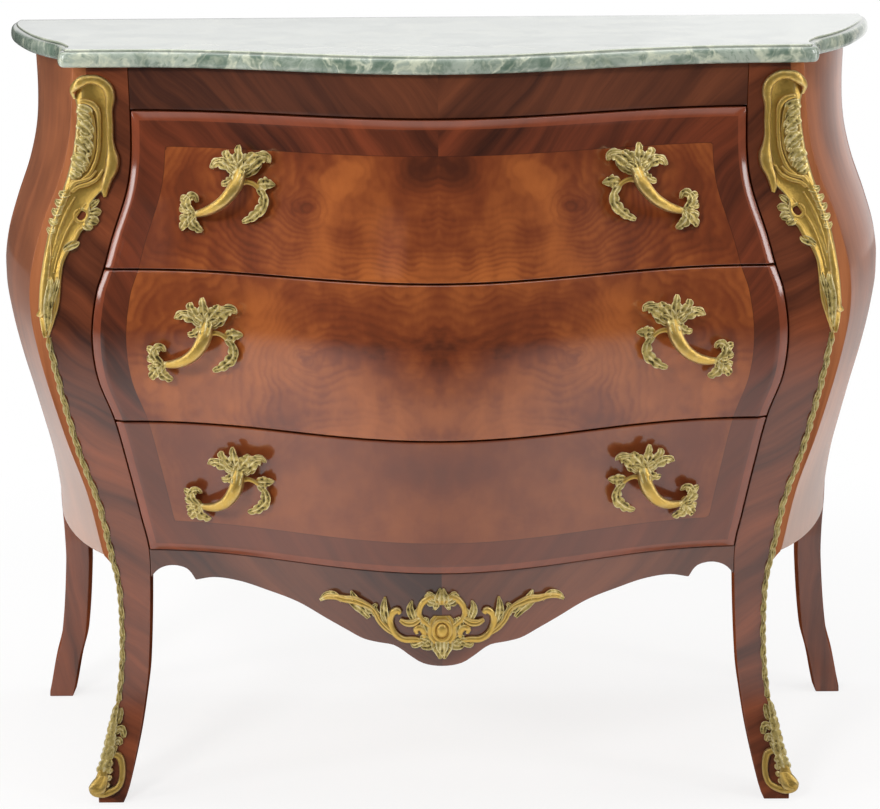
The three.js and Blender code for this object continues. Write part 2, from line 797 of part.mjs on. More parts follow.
function plate(shares, thickness) {
  const shape = new THREE.Shape(sized(shares).map(([u, v]) => new THREE.Vector2(u, v)));
  return new THREE.ExtrudeGeometry(shape, { depth: thickness, bevelEnabled: false });
}

function rod(u, v, low, high, radius) {
  return new THREE.CylinderGeometry(radius, radius, high - low, smallRoundSteps)
    .rotateX(Math.PI / 2)
    .translate(u, v, (low + high) / 2);
}

function highest(frame, places, surface) {
  return Math.max(...places.map(([u, v]) => surfaceDepth(frame, u, v, surface)));
}

function lowest(frame, places, surface) {
  return Math.min(...places.map(([u, v]) => surfaceDepth(frame, u, v, surface)));
}

function handleBase(frame) {
  const outline = [handleFanShares, handleTrefoilShares, handleBranchShares].flatMap(sized);
  return highest(frame, outline, drawerSurfaceY) + handleClearance;
}

function placed(geometry, frame) {
  const turn = new THREE.Matrix4().makeBasis(frame.across, frame.up, frame.out).setPosition(frame.origin);
  if (turn.determinant() < 0) {
    throw new Error('a handle frame is left-handed');
  }
  return geometry.applyMatrix4(turn);
}

function handle(frame) {
  const base = handleBase(frame);
  const stemPath = new THREE.CatmullRomCurve3(handleStemShares.map(([u, v, w]) => (
    point(u * handleSize, v * handleSize, base + w * handleStandOff)
  )));
  const stemSection = new THREE.Shape().absarc(0, 0, handleStemRadius, 0, 2 * Math.PI);
  const stem = new THREE.ExtrudeGeometry(stemSection, {
    steps: smallRoundSteps,
    extrudePath: stemPath,
    curveSegments: smallRoundSteps / 2,
    bevelEnabled: false,
  });
  const plates = [
    plate(handleFanShares, handlePlate),
    plate(handleTrefoilShares, handlePlate),
    plate(handleBranchShares, handleBranchThickness),
  ].map((piece) => piece.translate(0, 0, base));
  const posts = Object.values(handlePostShares).map(([a, b]) => {
    const [u, v] = [a * handleSize, b * handleSize];
    const foot = highest(frame, rim(u, v, handlePadRadius), drawerSurfaceY) + seatGap;
    return rod(u, v, foot, base + handlePlate / 2, handlePadRadius);
  });
  const bores = Object.values(handlePostShares).map(([a, b]) => (
    rod(a * handleSize, b * handleSize, -handleSize, base + handleBoreDepth, handleBoreRadius)
  ));
  const cast = joined([stem, ...plates, ...posts]);
  const bored = bores.map(solid).reduce((whole, bore) => whole.subtract(bore), cast);
  return placed(geometryOf(bored), frame);
}

function screw(frame, [a, b]) {
  const [u, v] = [a * handleSize, b * handleSize];
  const inside = (x, z) => frontY(x, z) + drawerBackFace;
  const headTop = lowest(frame, rim(u, v, screwHeadRadius), inside) - seatGap;
  const tip = handleBase(frame) + handleBoreDepth - screwEndGap;
  const profile = [
    [0, headTop - screwHeadThickness],
    [screwHeadRadius, headTop - screwHeadThickness],
    [screwHeadRadius, headTop],
    [screwRadius, headTop],
    [screwRadius, tip],
    [0, tip],
  ].map(([radius, place]) => new THREE.Vector2(radius, place));
  const turned = new THREE.LatheGeometry(profile, smallRoundSteps).rotateX(Math.PI / 2).translate(u, v, 0);
  return placed(geometryOf(solid(turned)), frame);
}

function screwHole(frame, [a, b]) {
  return placed(rod(a * handleSize, b * handleSize, -handleSize, handleSize, screwClearanceRadius), frame);
}

// Mounts that wrap the keel: a front half on the post's face and a side half behind the keel.
// The raised rim and the channel beside it stand at these shares of the mount's reach.
const rimPlaceShare = 0.78;
const channelPlaceShare = 0.45;

function keelRing(z, frontReach, sideReach, rises) {
  const keelY = -keelForward(z);
  const keelX = keelHalf(z);
  const inner = openingHalf(z);
  const front = (share, rise) => {
    const postY = THREE.MathUtils.lerp(keelY, frontY(inner, z), frontReach * share / (keelX - inner));
    return point(keelX - frontReach * share, postY - mountClearance - rise, z);
  };
  const side = (share, rise) => {
    const y = keelY + sideReach * share;
    return point(postSideX(y, z) + mountClearance + rise, y, z);
  };
  const corner = (rise) => point(keelX + mountClearance + rise, keelY - mountClearance - rise, z);
  const half = Math.SQRT1_2;
  return [
    front(1, 0),
    front(1, rises.edge),
    front(rimPlaceShare, rises.rim),
    front(channelPlaceShare, rises.channel),
    corner(rises.keel * half),
    side(channelPlaceShare, rises.channel),
    side(rimPlaceShare, rises.rim),
    side(1, rises.edge),
    side(1, 0),
    corner(0),
  ];
}

// Chute: [share of its height, share of its reach, share of the rise at the keel].
const chuteShares = [
  [0, 0.11, 0.2], [0.05, 0.15, 0.4], [0.1, 0.28, 0.62], [0.18, 0.36, 0.4], [0.25, 0.34, 0.4],
  [0.32, 0.47, 0.45], [0.365, 0.6, 0.5], [0.4, 0.8, 0.52], [0.425, 0.93, 0.55], [0.46, 0.95, 0.56],
  [0.5, 0.85, 0.58], [0.52, 0.7, 0.6], [0.55, 0.92, 0.6], [0.6, 0.99, 0.42], [0.66, 1, 0.38],
  [0.72, 0.78, 0.38], [0.79, 0.74, 0.38], [0.87, 0.66, 0.5], [0.92, 0.69, 0.85], [0.96, 0.64, 1],
  [0.985, 0.46, 0.9], [1, 0.22, 0.5],
];

function chute() {
  const rings = chuteShares.map(([height, reach, rise]) => {
    const z = chuteBottom + chuteHeight * height;
    const front = chuteReach * reach;
    const depth = Math.min(reach * 2, 1);
    return keelRing(z, front, front * chuteSideShare, {
      edge: chuteEdgeRise * depth,
      rim: chuteRimRise * depth,
      channel: chuteChannelRise * depth,
      keel: chuteKeelRise * rise,
    });
  });
  const keelX = keelHalf(chuteHoleHeight);
  const keelY = -keelForward(chuteHoleHeight);
  const hole = new THREE.CylinderGeometry(chuteHoleRadius, chuteHoleRadius, chuteReach, roundSteps)
    .translate(keelX - chuteHoleReach, keelY, chuteHoleHeight);
  return geometryOf(solid(loft(rings)).subtract(solid(hole)));
}

function keelBand() {
  const low = sabotBottom + sabotHeight + fitGap * 2;
  const high = chuteBottom - fitGap * 2;
  const rings = levels(low, high).map((z) => {
    const whole = keelRing(z, bandWidth, bandWidth, {
      edge: bandEdgeRise,
      rim: bandEdgeRise,
      channel: bandEdgeRise,
      keel: bandRise,
    });
    const [frontFoot, frontEdge, , , keel, , , sideEdge, sideFoot, corner] = whole;
    return [frontFoot, frontEdge, keel, sideEdge, sideFoot, corner];
  });
  return loft(rings);
}

// Sabot: [share of its height, share of its reach, share of the rise at the keel].
const sabotShares = [
  [0, 0.35, 0.5], [0.05, 0.6, 0.9], [0.12, 0.85, 1], [0.2, 0.97, 0.8], [0.32, 1, 0.6],
  [0.42, 0.85, 0.5], [0.52, 0.6, 0.5], [0.62, 0.62, 0.55], [0.72, 0.75, 0.6], [0.8, 0.5, 0.55],
  [0.9, 0.25, 0.45], [1, 0.15, 0.3],
];

function sabot() {
  const rings = sabotShares.map(([height, reach, rise]) => (
    keelRing(sabotBottom + sabotHeight * height, sabotReach * reach, sabotReach * reach * sabotSideShare, {
      edge: sabotEdgeRise,
      rim: sabotRimRise,
      channel: sabotRimRise,
      keel: sabotKeelRise * rise,
    })
  ));
  const keelX = keelHalf(sabotHoleHeight);
  const keelY = -keelForward(sabotHoleHeight);
  const hole = new THREE.CylinderGeometry(sabotHoleWide, sabotHoleWide, legDepth, roundSteps)
    .scale(1, 1, sabotHoleTall / sabotHoleWide)
    .translate(keelX - sabotHoleReach, keelY, sabotHoleHeight);
  return geometryOf(solid(loft(rings)).subtract(solid(hole)));
}

// Apron mount: right half of the outline and its openings, in shares of its half width.
const apronMountShares = [
  [0, 0.295], [0.075, 0.235], [0.155, 0.18], [0.21, 0.14], [0.25, 0.2], [0.27, 0.13], [0.36, 0.1],
  [0.42, 0.03], [0.44, 0.14], [0.46, 0.215], [0.5, 0.14], [0.58, 0.14], [0.67, 0.165], [0.73, 0.22],
  [0.78, 0.215], [0.87, 0.21], [0.95, 0.18], [1, 0.145], [0.89, 0.125], [0.76, 0.12], [0.67, 0.06],
  [0.6, 0.015], [0.53, 0], [0.47, -0.06], [0.4, -0.115], [0.31, -0.155], [0.22, -0.2], [0.13, -0.155],
  [0.08, -0.21], [0, -0.29],
];
const apronHeartShares = [
  [0, 0.11], [0.08, 0.15], [0.145, 0.1], [0.1, 0.03], [0.06, 0.06], [0, 0.075],
];
const apronScrollShares = [
  [0.25, 0.0], [0.3, 0.06], [0.37, 0.03], [0.38, -0.03], [0.33, -0.09], [0.26, -0.07],
];

function apronMount() {
  const size = apronMountHalfWidth;
  const mirroredShares = (shares) => [...shares, ...shares.slice(1, -1).reverse().map(([u, v]) => [-u, v])];
  const path = (shares) => shares.map(([u, v]) => new THREE.Vector2(u * size, v * size + apronMountCentre));
  const shape = new THREE.Shape(path(mirroredShares(apronMountShares)).reverse());
  shape.holes.push(new THREE.Path(path(mirroredShares(apronHeartShares))));
  shape.holes.push(new THREE.Path(path(apronScrollShares)));
  shape.holes.push(new THREE.Path(path(apronScrollShares.map(([u, v]) => [-u, v]))));
  const depth = keelTopForward;
  const turn = Math.PI / 2;
  const stencil = new THREE.ExtrudeGeometry(shape, { depth, bevelEnabled: false })
    .rotateX(turn)
    .translate(0, -depth / 2, 0);
  const across = columns(size + apronMountThickness);
  const heights = levels(apronMountCentre - size / 2, apronMountCentre + size / 2);
  const face = (rise) => heights.map((z) => across.map((x) => (
    point(x, frontY(x, z) - mountClearance / 2 - rise, z)
  )));
  const sheet = slab(face(apronMountThickness), face(0));
  const bossZ = apronMountCentre - apronBossDrop;
  const bossY = frontY(0, bossZ) - mountClearance - apronMountThickness / 2;
  const boss = new THREE.SphereGeometry(1, roundSteps, smallRoundSteps)
    .scale(apronBossWide, apronBossHeight, apronBossTall)
    .translate(0, bossY, bossZ);
  const room = new THREE.BoxGeometry(size, size, size)
    .translate(0, bossY + apronMountThickness / 2 - size / 2, bossZ);
  const dome = solid(boss).intersect(solid(room));
  return geometryOf(solid(sheet).intersect(solid(stencil)).add(dome));
}

// Colours and finish of each kind of piece.
const finishes = {
  banding: { color: 0x55281a, roughness: 0.28, metalness: 0 },
  burl: { color: 0x8a4522, roughness: 0.25, metalness: 0 },
  sideVeneer: { color: 0x6e3a24, roughness: 0.3, metalness: 0 },
  boards: { color: 0xb08a5a, roughness: 0.7, metalness: 0 },
  marble: { color: 0x8fa38f, roughness: 0.2, metalness: 0 },
  brass: { color: 0xc9a050, roughness: 0.35, metalness: 1 },
  steel: { color: 0x8f8f8c, roughness: 0.4, metalness: 1 },
};

const commode = new THREE.Group();
commode.name = 'commode_chest';

function place(name, geometry, finish) {
  const mesh = new THREE.Mesh(geometry, new THREE.MeshStandardMaterial(finishes[finish]));
  mesh.name = name;
  commode.add(mesh);
}

function placePair(name, geometry, finish) {
  place(`${name}_right`, geometry, finish);
  place(`${name}_left`, mirrored(geometry), finish);
}

place('marble_top', marbleTop(), 'marble');
placePair('front_leg', frontLeg(), 'banding');
placePair('back_leg', backLeg(), 'banding');
placePair('side_panel', sidePanel(), 'sideVeneer');
place('top_rail', topRail(), 'banding');
place('apron', apron(), 'banding');
place('back_panel', backPanel(), 'boards');
place('back_top_rail', backTopRail(), 'boards');
place('upper_dust_board', caseBoard(upperDrawerLine, dustBoardThickness), 'boards');
place('lower_dust_board', caseBoard(lowerDrawerLine, dustBoardThickness), 'boards');
place('bottom_board', caseBoard(drawerBottomLine, bottomBoardThickness), 'boards');

const holesOf = new Map(drawers.map((drawer) => [drawer, []]));
for (const spot of handlePlaces) {
  const frame = handleFrame(spot);
  const name = `${spot.drawer.name}_drawer_handle`;
  const cast = handle(frame);
  place(`${name}_left`, cast, 'brass');
  place(`${name}_right`, mirrored(cast), 'brass');
  for (const [end, shares] of Object.entries(handlePostShares)) {
    const fixing = screw(frame, shares);
    place(`${name}_left_${end}_screw`, fixing, 'steel');
    place(`${name}_right_${end}_screw`, mirrored(fixing), 'steel');
    const hole = geometryOf(solid(screwHole(frame, shares)));
    holesOf.get(spot.drawer).push(hole, mirrored(hole));
  }
}

for (const drawer of drawers) {
  const holes = holesOf.get(drawer).map(solid);
  const front = holes.reduce((whole, hole) => whole.subtract(hole), solid(drawerFront(drawer)));
  place(`${drawer.name}_drawer_front`, geometryOf(front), 'burl');
  placePair(`${drawer.name}_drawer_side`, drawerSide(drawer), 'boards');
  place(`${drawer.name}_drawer_back`, drawerBack(drawer), 'boards');
  place(`${drawer.name}_drawer_bottom`, drawerBottom(drawer), 'boards');
  const guide = geometryOf(solid(drawerGuide(drawer)));
  placePair(`${drawer.name}_drawer_guide`, guide, 'boards');
}

placePair('chute', chute(), 'brass');
placePair('keel_band', keelBand(), 'brass');
placePair('sabot', sabot(), 'brass');
place('apron_mount', apronMount(), 'brass');

// The origin is on the floor, under the middle of the whole chest.
const bounds = new THREE.Box3().setFromObject(commode);
commode.position.y = -(bounds.min.y + bounds.max.y) / 2;

export default commode;
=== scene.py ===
"""Dresses a packed commode chest: lacquered veneers, a marble top and gilt brass mounts."""

import math
from types import SimpleNamespace

import bmesh
import bpy
from bpy.props import FloatProperty, FloatVectorProperty, PointerProperty
from mathutils import Matrix, Vector


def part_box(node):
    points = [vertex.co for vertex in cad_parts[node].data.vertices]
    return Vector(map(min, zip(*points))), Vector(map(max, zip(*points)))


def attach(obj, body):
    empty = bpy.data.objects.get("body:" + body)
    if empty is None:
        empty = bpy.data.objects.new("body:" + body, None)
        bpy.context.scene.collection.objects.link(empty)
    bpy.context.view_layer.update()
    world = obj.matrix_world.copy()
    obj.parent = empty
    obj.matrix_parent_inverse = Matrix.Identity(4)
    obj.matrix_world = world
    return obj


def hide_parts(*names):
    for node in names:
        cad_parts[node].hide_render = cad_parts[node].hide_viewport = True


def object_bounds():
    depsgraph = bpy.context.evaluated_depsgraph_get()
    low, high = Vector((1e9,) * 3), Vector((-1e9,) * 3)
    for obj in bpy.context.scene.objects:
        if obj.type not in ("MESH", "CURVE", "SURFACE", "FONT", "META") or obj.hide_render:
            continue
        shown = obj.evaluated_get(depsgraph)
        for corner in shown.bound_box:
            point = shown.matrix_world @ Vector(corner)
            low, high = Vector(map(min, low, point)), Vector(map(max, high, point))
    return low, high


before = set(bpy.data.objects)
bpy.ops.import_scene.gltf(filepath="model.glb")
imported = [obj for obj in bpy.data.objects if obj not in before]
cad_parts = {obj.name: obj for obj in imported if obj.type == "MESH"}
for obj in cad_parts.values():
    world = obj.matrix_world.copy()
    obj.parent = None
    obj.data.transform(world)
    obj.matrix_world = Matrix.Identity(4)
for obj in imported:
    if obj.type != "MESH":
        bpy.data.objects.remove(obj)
CAD_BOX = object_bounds()

bl_info = {
    "name": "Commode Chest Dresser",
    "version": (1, 0, 0),
    "blender": (4, 5, 0),
    "location": "3D View > Sidebar > Commode",
    "description": "Builds the veneers, marble and cast mounts of a bow-fronted commode chest",
    "category": "Object",
}

MM = 0.001

# The camera of the photograph, solved from the outline of the chest, and the picture's middle in pixels.
YAW, PITCH, ROLL = 0.0047, 0.2325, -0.0078
DISTANCE, EYE_HEIGHT, ASIDE = 3.1, 1.10067, -0.00253
FOCAL, PICTURE_WIDTH = 2567.57, 880
PICTURE_MIDDLE = (440, 404.5)

DRAWERS = ("top", "middle", "bottom")
SIDES = (("right", 1), ("left", -1))

# The form of the body: half widths and forward reaches at its top, and how far each one swells times a share.
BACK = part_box("marble_top")[1].y
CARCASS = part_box("marble_top")[0].z
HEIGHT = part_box("marble_top")[1].z
KEEL_TOP, KEEL_SWELL = 373 * MM, 47.5 * MM
FORWARD_TOP, FORWARD_SWELL = 372 * MM, 40 * MM
SIDE_TOP, SIDE_SWELL = 484 * MM, 46 * MM
OPENING_TOP, OPENING_SWELL = 329 * MM, 44 * MM
BOW_DEPTH, BOW_HALF = 100 * MM, 362 * MM
SIDE_POWER = 1.4

# The heights of the lines over and between the drawers and under the last, and what hangs on them.
LINES = [CARCASS - drop * MM for drop in (46, 211, 379, 534)]
LEG_TOP, CASE_BOTTOM = LINES[3] - 39 * MM, LINES[3] - 19 * MM
SIDE_LOW_FRONT, SIDE_LOW_BACK = LINES[3] - 20 * MM, LINES[3] - 46 * MM
APRON_DROP, APRON_EAR_START, APRON_FLARE_START = 107 * MM, 0.842, 0.9

# Sections of the wooden pieces, the gaps between them, and how finely the legs are divided.
FIT, DRAWER_GAP, DRAWER_SIDE_GAP = 0.3 * MM, 1 * MM, 2 * MM
POST_BACK = FORWARD_TOP - 52 * MM
LEG_DEPTH, LEG_CHAMFER, POST_CHAMFER = 38 * MM, 8 * MM, 1 * MM
BACK_POST_DEPTH, BACK_POST_WIDTH = 50 * MM, 40 * MM
BACK_LEG_DEPTH, BACK_LEG_WIDTH, BACK_LEG_RISE = 35 * MM, 33 * MM, 40 * MM
SIDE_THICK, RAIL_THICK, FRONT_THICK = 16 * MM, 22 * MM, 18 * MM
DRAWER_PROUD = 10 * MM
LEG_RINGS, LEG_SPANS = 110, 6

# The marble slab: how far it reaches forward, its bow, where its corner starts, and its moulded edge from
# below to above as (inset, height over the lower face) in millimetres.
MARBLE_REACH, MARBLE_BOW, MARBLE_CORNER = 386 * MM, 98 * MM, 388 * MM
MARBLE_PROFILE = [
    (4.0, 0.0), (2.6, 0.3), (1.3, 1.3), (0.5, 2.8), (0.0, 5.0), (0.0, 8.0), (0.25, 10.5), (0.9, 12.8),
    (1.9, 14.6), (3.3, 15.9), (4.6, 16.3), (5.9, 16.4), (6.6, 16.5), (7.0, 16.9), (7.2, 17.9), (7.6, 18.6),
    (8.3, 18.95), (9.2, 19.0),
]

# Points closer than MERGE become one, and a point closer than AT_BACK to the back lies in it.
MERGE, AT_BACK = 1e-7, 1e-5

# A face of a leg is a side face when its normal points this far to the side.
SIDEWAYS = 0.75

# The lacquer over the veneers: how strongly it bends light, and the shine that the wood under it keeps.
LACQUER_IOR, LACQUERED = 1.65, 0.08

# How wide a drawer's cross band is, and its chamfered edge with a painted highlight, and how far behind the
# middle the two sheets of veneer on a side meet.
BAND_WIDTH, EDGE_WIDTH, SIDE_JOINT = 36.3 * MM, 9 * MM, 60 * MM

# How far apart in the noise the grain of the two halves of a front, and of the two sides, is taken.
OTHER_HALF, OTHER_SIDE = 0.37, 0.7

# Rows of (share of the body's height, share of the swell). The apron's are (share of the way out, share of
# the drop), and the marble corner's are (share outwards, share of the way back).
KEEL_SHARES = [
    (0, 0.33), (0.017, 0.33), (0.039, 0.26), (0.07, 0.1), (0.108, -0.05), (0.14, -0.17), (0.206, -0.28),
    (0.295, -0.27), (0.349, -0.12), (0.42, 0.09), (0.486, 0.42), (0.553, 0.66), (0.614, 0.85),
    (0.656, 0.96), (0.693, 1), (0.728, 0.97), (0.788, 0.78), (0.837, 0.49), (0.879, 0.28),
    (0.929, 0.13), (1, 0),
]
FORWARD_SHARES = [
    (0, 0.42), (0.073, 0.03), (0.154, -0.24), (0.245, -0.32), (0.335, -0.21), (0.406, 0), (0.476, 0.27),
    (0.547, 0.63), (0.607, 0.89), (0.668, 1), (0.728, 0.85), (0.788, 0.48), (0.849, 0.13),
    (0.899, 0), (1, 0),
]
OPENING_SHARES = [
    (0, 0.72), (0.009, 0.64), (0.082, 0.32), (0.146, 0.12), (0.184, 0.03), (0.295, -0.08), (0.352, -0.09),
    (0.4, 0.07), (0.475, 0.33), (0.543, 0.58), (0.599, 0.91), (0.655, 1), (0.712, 0.87),
    (0.743, 0.68), (0.78, 0.49), (0.844, 0.11), (0.894, 0), (1, 0),
]
SIDE_SHARES = [
    (0, 0.37), (0.017, 0.3), (0.058, 0.15), (0.101, -0.05), (0.206, -0.22), (0.255, -0.22),
    (0.303, -0.18), (0.34, -0.16), (0.396, -0.02), (0.45, 0.2), (0.504, 0.43), (0.559, 0.69),
    (0.613, 0.89), (0.668, 1), (0.719, 0.9), (0.772, 0.61), (0.825, 0.26), (0.876, 0.04),
    (0.929, -0.03), (1, 0),
]
APRON_SHARES = [
    (0, 1), (0.03, 0.995), (0.07, 0.965), (0.11, 0.89), (0.14, 0.825), (0.165, 0.79), (0.215, 0.775),
    (0.265, 0.75), (0.32, 0.675), (0.385, 0.585), (0.485, 0.445), (0.6, 0.355), (0.685, 0.3),
    (0.775, 0.285), (APRON_EAR_START, 0.33),
]
APRON_EAR_SHARES = [
    (APRON_EAR_START, 0.33), (0.858, 0.25), (0.875, 0.205), (0.91, 0.18), (0.945, 0.19), (0.975, 0.235),
    (1, 0.32),
]
MARBLE_CORNER_SHARES = [
    (1, 0), (1.028, 0.012), (1.04, 0.045), (1.037, 0.083), (1.042, 0.13), (1.058, 0.18), (1.08, 0.24),
    (1.13, 0.335), (1.192, 0.48), (1.253, 0.67), (1.292, 0.82), (1.311, 0.93), (1.314, 1),
]


def smooth_curve(rows):
    """A smooth curve through rows of (place, value)."""
    slopes = []
    for i in range(len(rows)):
        low, high = rows[max(i - 1, 0)], rows[min(i + 1, len(rows) - 1)]
        slopes.append((high[1] - low[1]) / (high[0] - low[0]))

    def value(place):
        i = 0
        while i < len(rows) - 2 and place > rows[i + 1][0]:
            i += 1
        (start, first), (end, last) = rows[i], rows[i + 1]
        span = end - start
        t = min(max((place - start) / span, 0), 1)
        rise = first + (last - first) * t * t * (3 - 2 * t)
        return rise + span * t * (1 - t) * ((1 - t) * slopes[i] - t * slopes[i + 1])

    return value


KEEL, FORWARD = smooth_curve(KEEL_SHARES), smooth_curve(FORWARD_SHARES)
OPENING, SIDE = smooth_curve(OPENING_SHARES), smooth_curve(SIDE_SHARES)
APRON, APRON_EAR = smooth_curve(APRON_SHARES), smooth_curve(APRON_EAR_SHARES)


def keel_half(z):
    return KEEL_TOP + KEEL_SWELL * KEEL(z / CARCASS)


def keel_forward(z):
    return FORWARD_TOP + FORWARD_SWELL * FORWARD(z / CARCASS)


def opening_half(z):
    return OPENING_TOP + OPENING_SWELL * OPENING(z / CARCASS)


def side_half(z):
    return min(SIDE_TOP + SIDE_SWELL * SIDE(z / CARCASS), CAD_BOX[1][0])


def bow_share(x):
    across = min(abs(x) / BOW_HALF, 1)
    return (1 - across ** 2) ** 3


def front_y(x, z):
    """The front surface of the body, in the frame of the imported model."""
    return BACK - keel_forward(z) - BOW_DEPTH * bow_share(x)


def side_x(y, z):
    """How far out the side surface stands at a place in depth and height."""
    forward = keel_forward(z)
    along = min(max((y - BACK + forward) / forward, 0), 1)
    return keel_half(z) + (side_half(z) - keel_half(z)) * (1 - (1 - along) ** SIDE_POWER)


def smooth_step(value, low, high):
    t = min(max((value - low) / (high - low), 0), 1)
    return t * t * (3 - 2 * t)


def lerp(a, b, t):
    return a + (b - a) * t


def spread(low, high, count):
    """Evenly spaced values from low to high, in count steps."""
    return [low + (high - low) * i / count for i in range(count + 1)]


def case_share(z):
    """0 on the legs, 1 on the case, and between them where the leg grows out of the post."""
    return smooth_step(z, LEG_TOP, CASE_BOTTOM)


# Making meshes

def sheet(bm, rows, columns, place):
    """A grid of quads; place(row, column) says where each corner goes."""
    made = bmesh.ops.create_grid(bm, x_segments=columns, y_segments=rows, size=0.5)["verts"]
    for vert in made:
        column = round((vert.co.x + 0.5) * columns)
        row = round((vert.co.y + 0.5) * rows)
        vert.co = place(row, column)
    return made


def skin(bm, rings):
    """A closed skin through rings of points, with its ends filled."""
    around = len(rings[0])
    made = sheet(bm, len(rings) - 1, around, lambda row, column: rings[row][column % around])
    bmesh.ops.remove_doubles(bm, verts=made, dist=MERGE)
    bmesh.ops.holes_fill(bm, edges=[edge for edge in bm.edges if edge.is_boundary], sides=0)


def through(points, steps):
    """A smooth line through points, with steps between each two."""
    line = []
    for i in range(len(points) - 1):
        before, here = points[max(i - 1, 0)], points[i]
        after, beyond = points[i + 1], points[min(i + 2, len(points) - 1)]
        for k in range(steps):
            t = k / steps
            bend = (2 * before - 5 * here + 4 * after - beyond) * t * t
            twist = (3 * here - before - 3 * after + beyond) * t ** 3
            line.append((2 * here + (after - before) * t + bend + twist) / 2)
    return line + [points[-1]]


def soften(bm, width, angle=35):
    """Rounds each edge sharper than an angle in degrees."""
    limit = math.radians(angle)
    sharp = [edge for edge in bm.edges if edge.is_manifold and edge.calc_face_angle(0) > limit]
    bmesh.ops.bevel(
        bm, geom=sharp, offset=width, affect="EDGES", segments=2, profile=0.5, material=-1,
        clamp_overlap=True,
    )


def board(rows, columns, place, thick, edge_round, angle=35):
    """A closed board with rounded edges; place(row, column, inset) says where its front and its back lie."""
    bm = bmesh.new()
    for inset in (0, thick):
        sheet(bm, rows, columns, lambda row, column, inset=inset: place(row, column, inset))
    bmesh.ops.bridge_loops(bm, edges=[edge for edge in bm.edges if edge.is_boundary])
    bmesh.ops.recalc_face_normals(bm, faces=bm.faces[:])
    soften(bm, edge_round, angle)
    return bm


def post(rings, edge_round):
    """A closed post through rings of points, with rounded edges."""
    bm = bmesh.new()
    skin(bm, rings)
    bmesh.ops.recalc_face_normals(bm, faces=bm.faces[:])
    soften(bm, edge_round)
    return bm


def on_side(bm, turn):
    """The shape as it is for a turn of 1, and mirrored to the other side of the chest for -1."""
    if turn < 0:
        bmesh.ops.transform(bm, matrix=Matrix.Scale(-1, 4, (1, 0, 0)), verts=bm.verts[:])
        bmesh.ops.reverse_faces(bm, faces=bm.faces[:])
    return bm


def finished(name, bm, body, material, node, notes=None):
    """Turns a bmesh into a piece that stands for a node. notes are attributes worked out from each place."""
    for face in bm.faces:
        face.smooth = True
    mesh = bpy.data.meshes.new(name)
    bm.to_mesh(mesh)
    bm.free()
    for title, value in (notes or {}).items():
        layer = mesh.attributes.new(title, "FLOAT", "POINT")
        for i, vert in enumerate(mesh.vertices):
            layer.data[i].value = value(vert.co)
    mesh.materials.append(material)
    obj = bpy.data.objects.new(name, mesh)
    bpy.context.scene.collection.objects.link(obj)
    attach(obj, body)
    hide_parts(node)
    return obj


def veneered(node, bm, material, body="carcass", notes=None):
    """A veneered piece, whose broad faces stay flat beside their rounded edges."""
    obj = finished(f"veneered_{node}", bm, body, material, node, notes)
    weigh = obj.modifiers.new("even_shading", "WEIGHTED_NORMAL")
    weigh.mode = "FACE_AREA_WITH_ANGLE"
    weigh.weight = 80
    weigh.keep_sharp = True
    return obj


# Materials

FLOAT, COLOUR, VECTOR = "NodeSocketFloat", "NodeSocketColor", "NodeSocketVector"

# The places of the Mix node's two colours among its inputs, and of the mixed colour among its outputs.
FIRST_COLOUR, SECOND_COLOUR, MIXED_COLOUR = 6, 7, 2


class Signal:
    """A socket's value in a node tree, to be added, multiplied and so on like a number."""

    def __init__(self, wires, socket):
        self.wires, self.socket = wires, socket

    def __add__(self, other):
        return self.wires.maths("ADD", self, other)

    def __sub__(self, other):
        return self.wires.maths("SUBTRACT", self, other)

    def __mul__(self, other):
        return self.wires.maths("MULTIPLY", self, other)

    def __truediv__(self, other):
        return self.wires.maths("DIVIDE", self, other)

    def __pow__(self, other):
        return self.wires.maths("POWER", self, other)

    def __abs__(self):
        return self.wires.maths("ABSOLUTE", self)


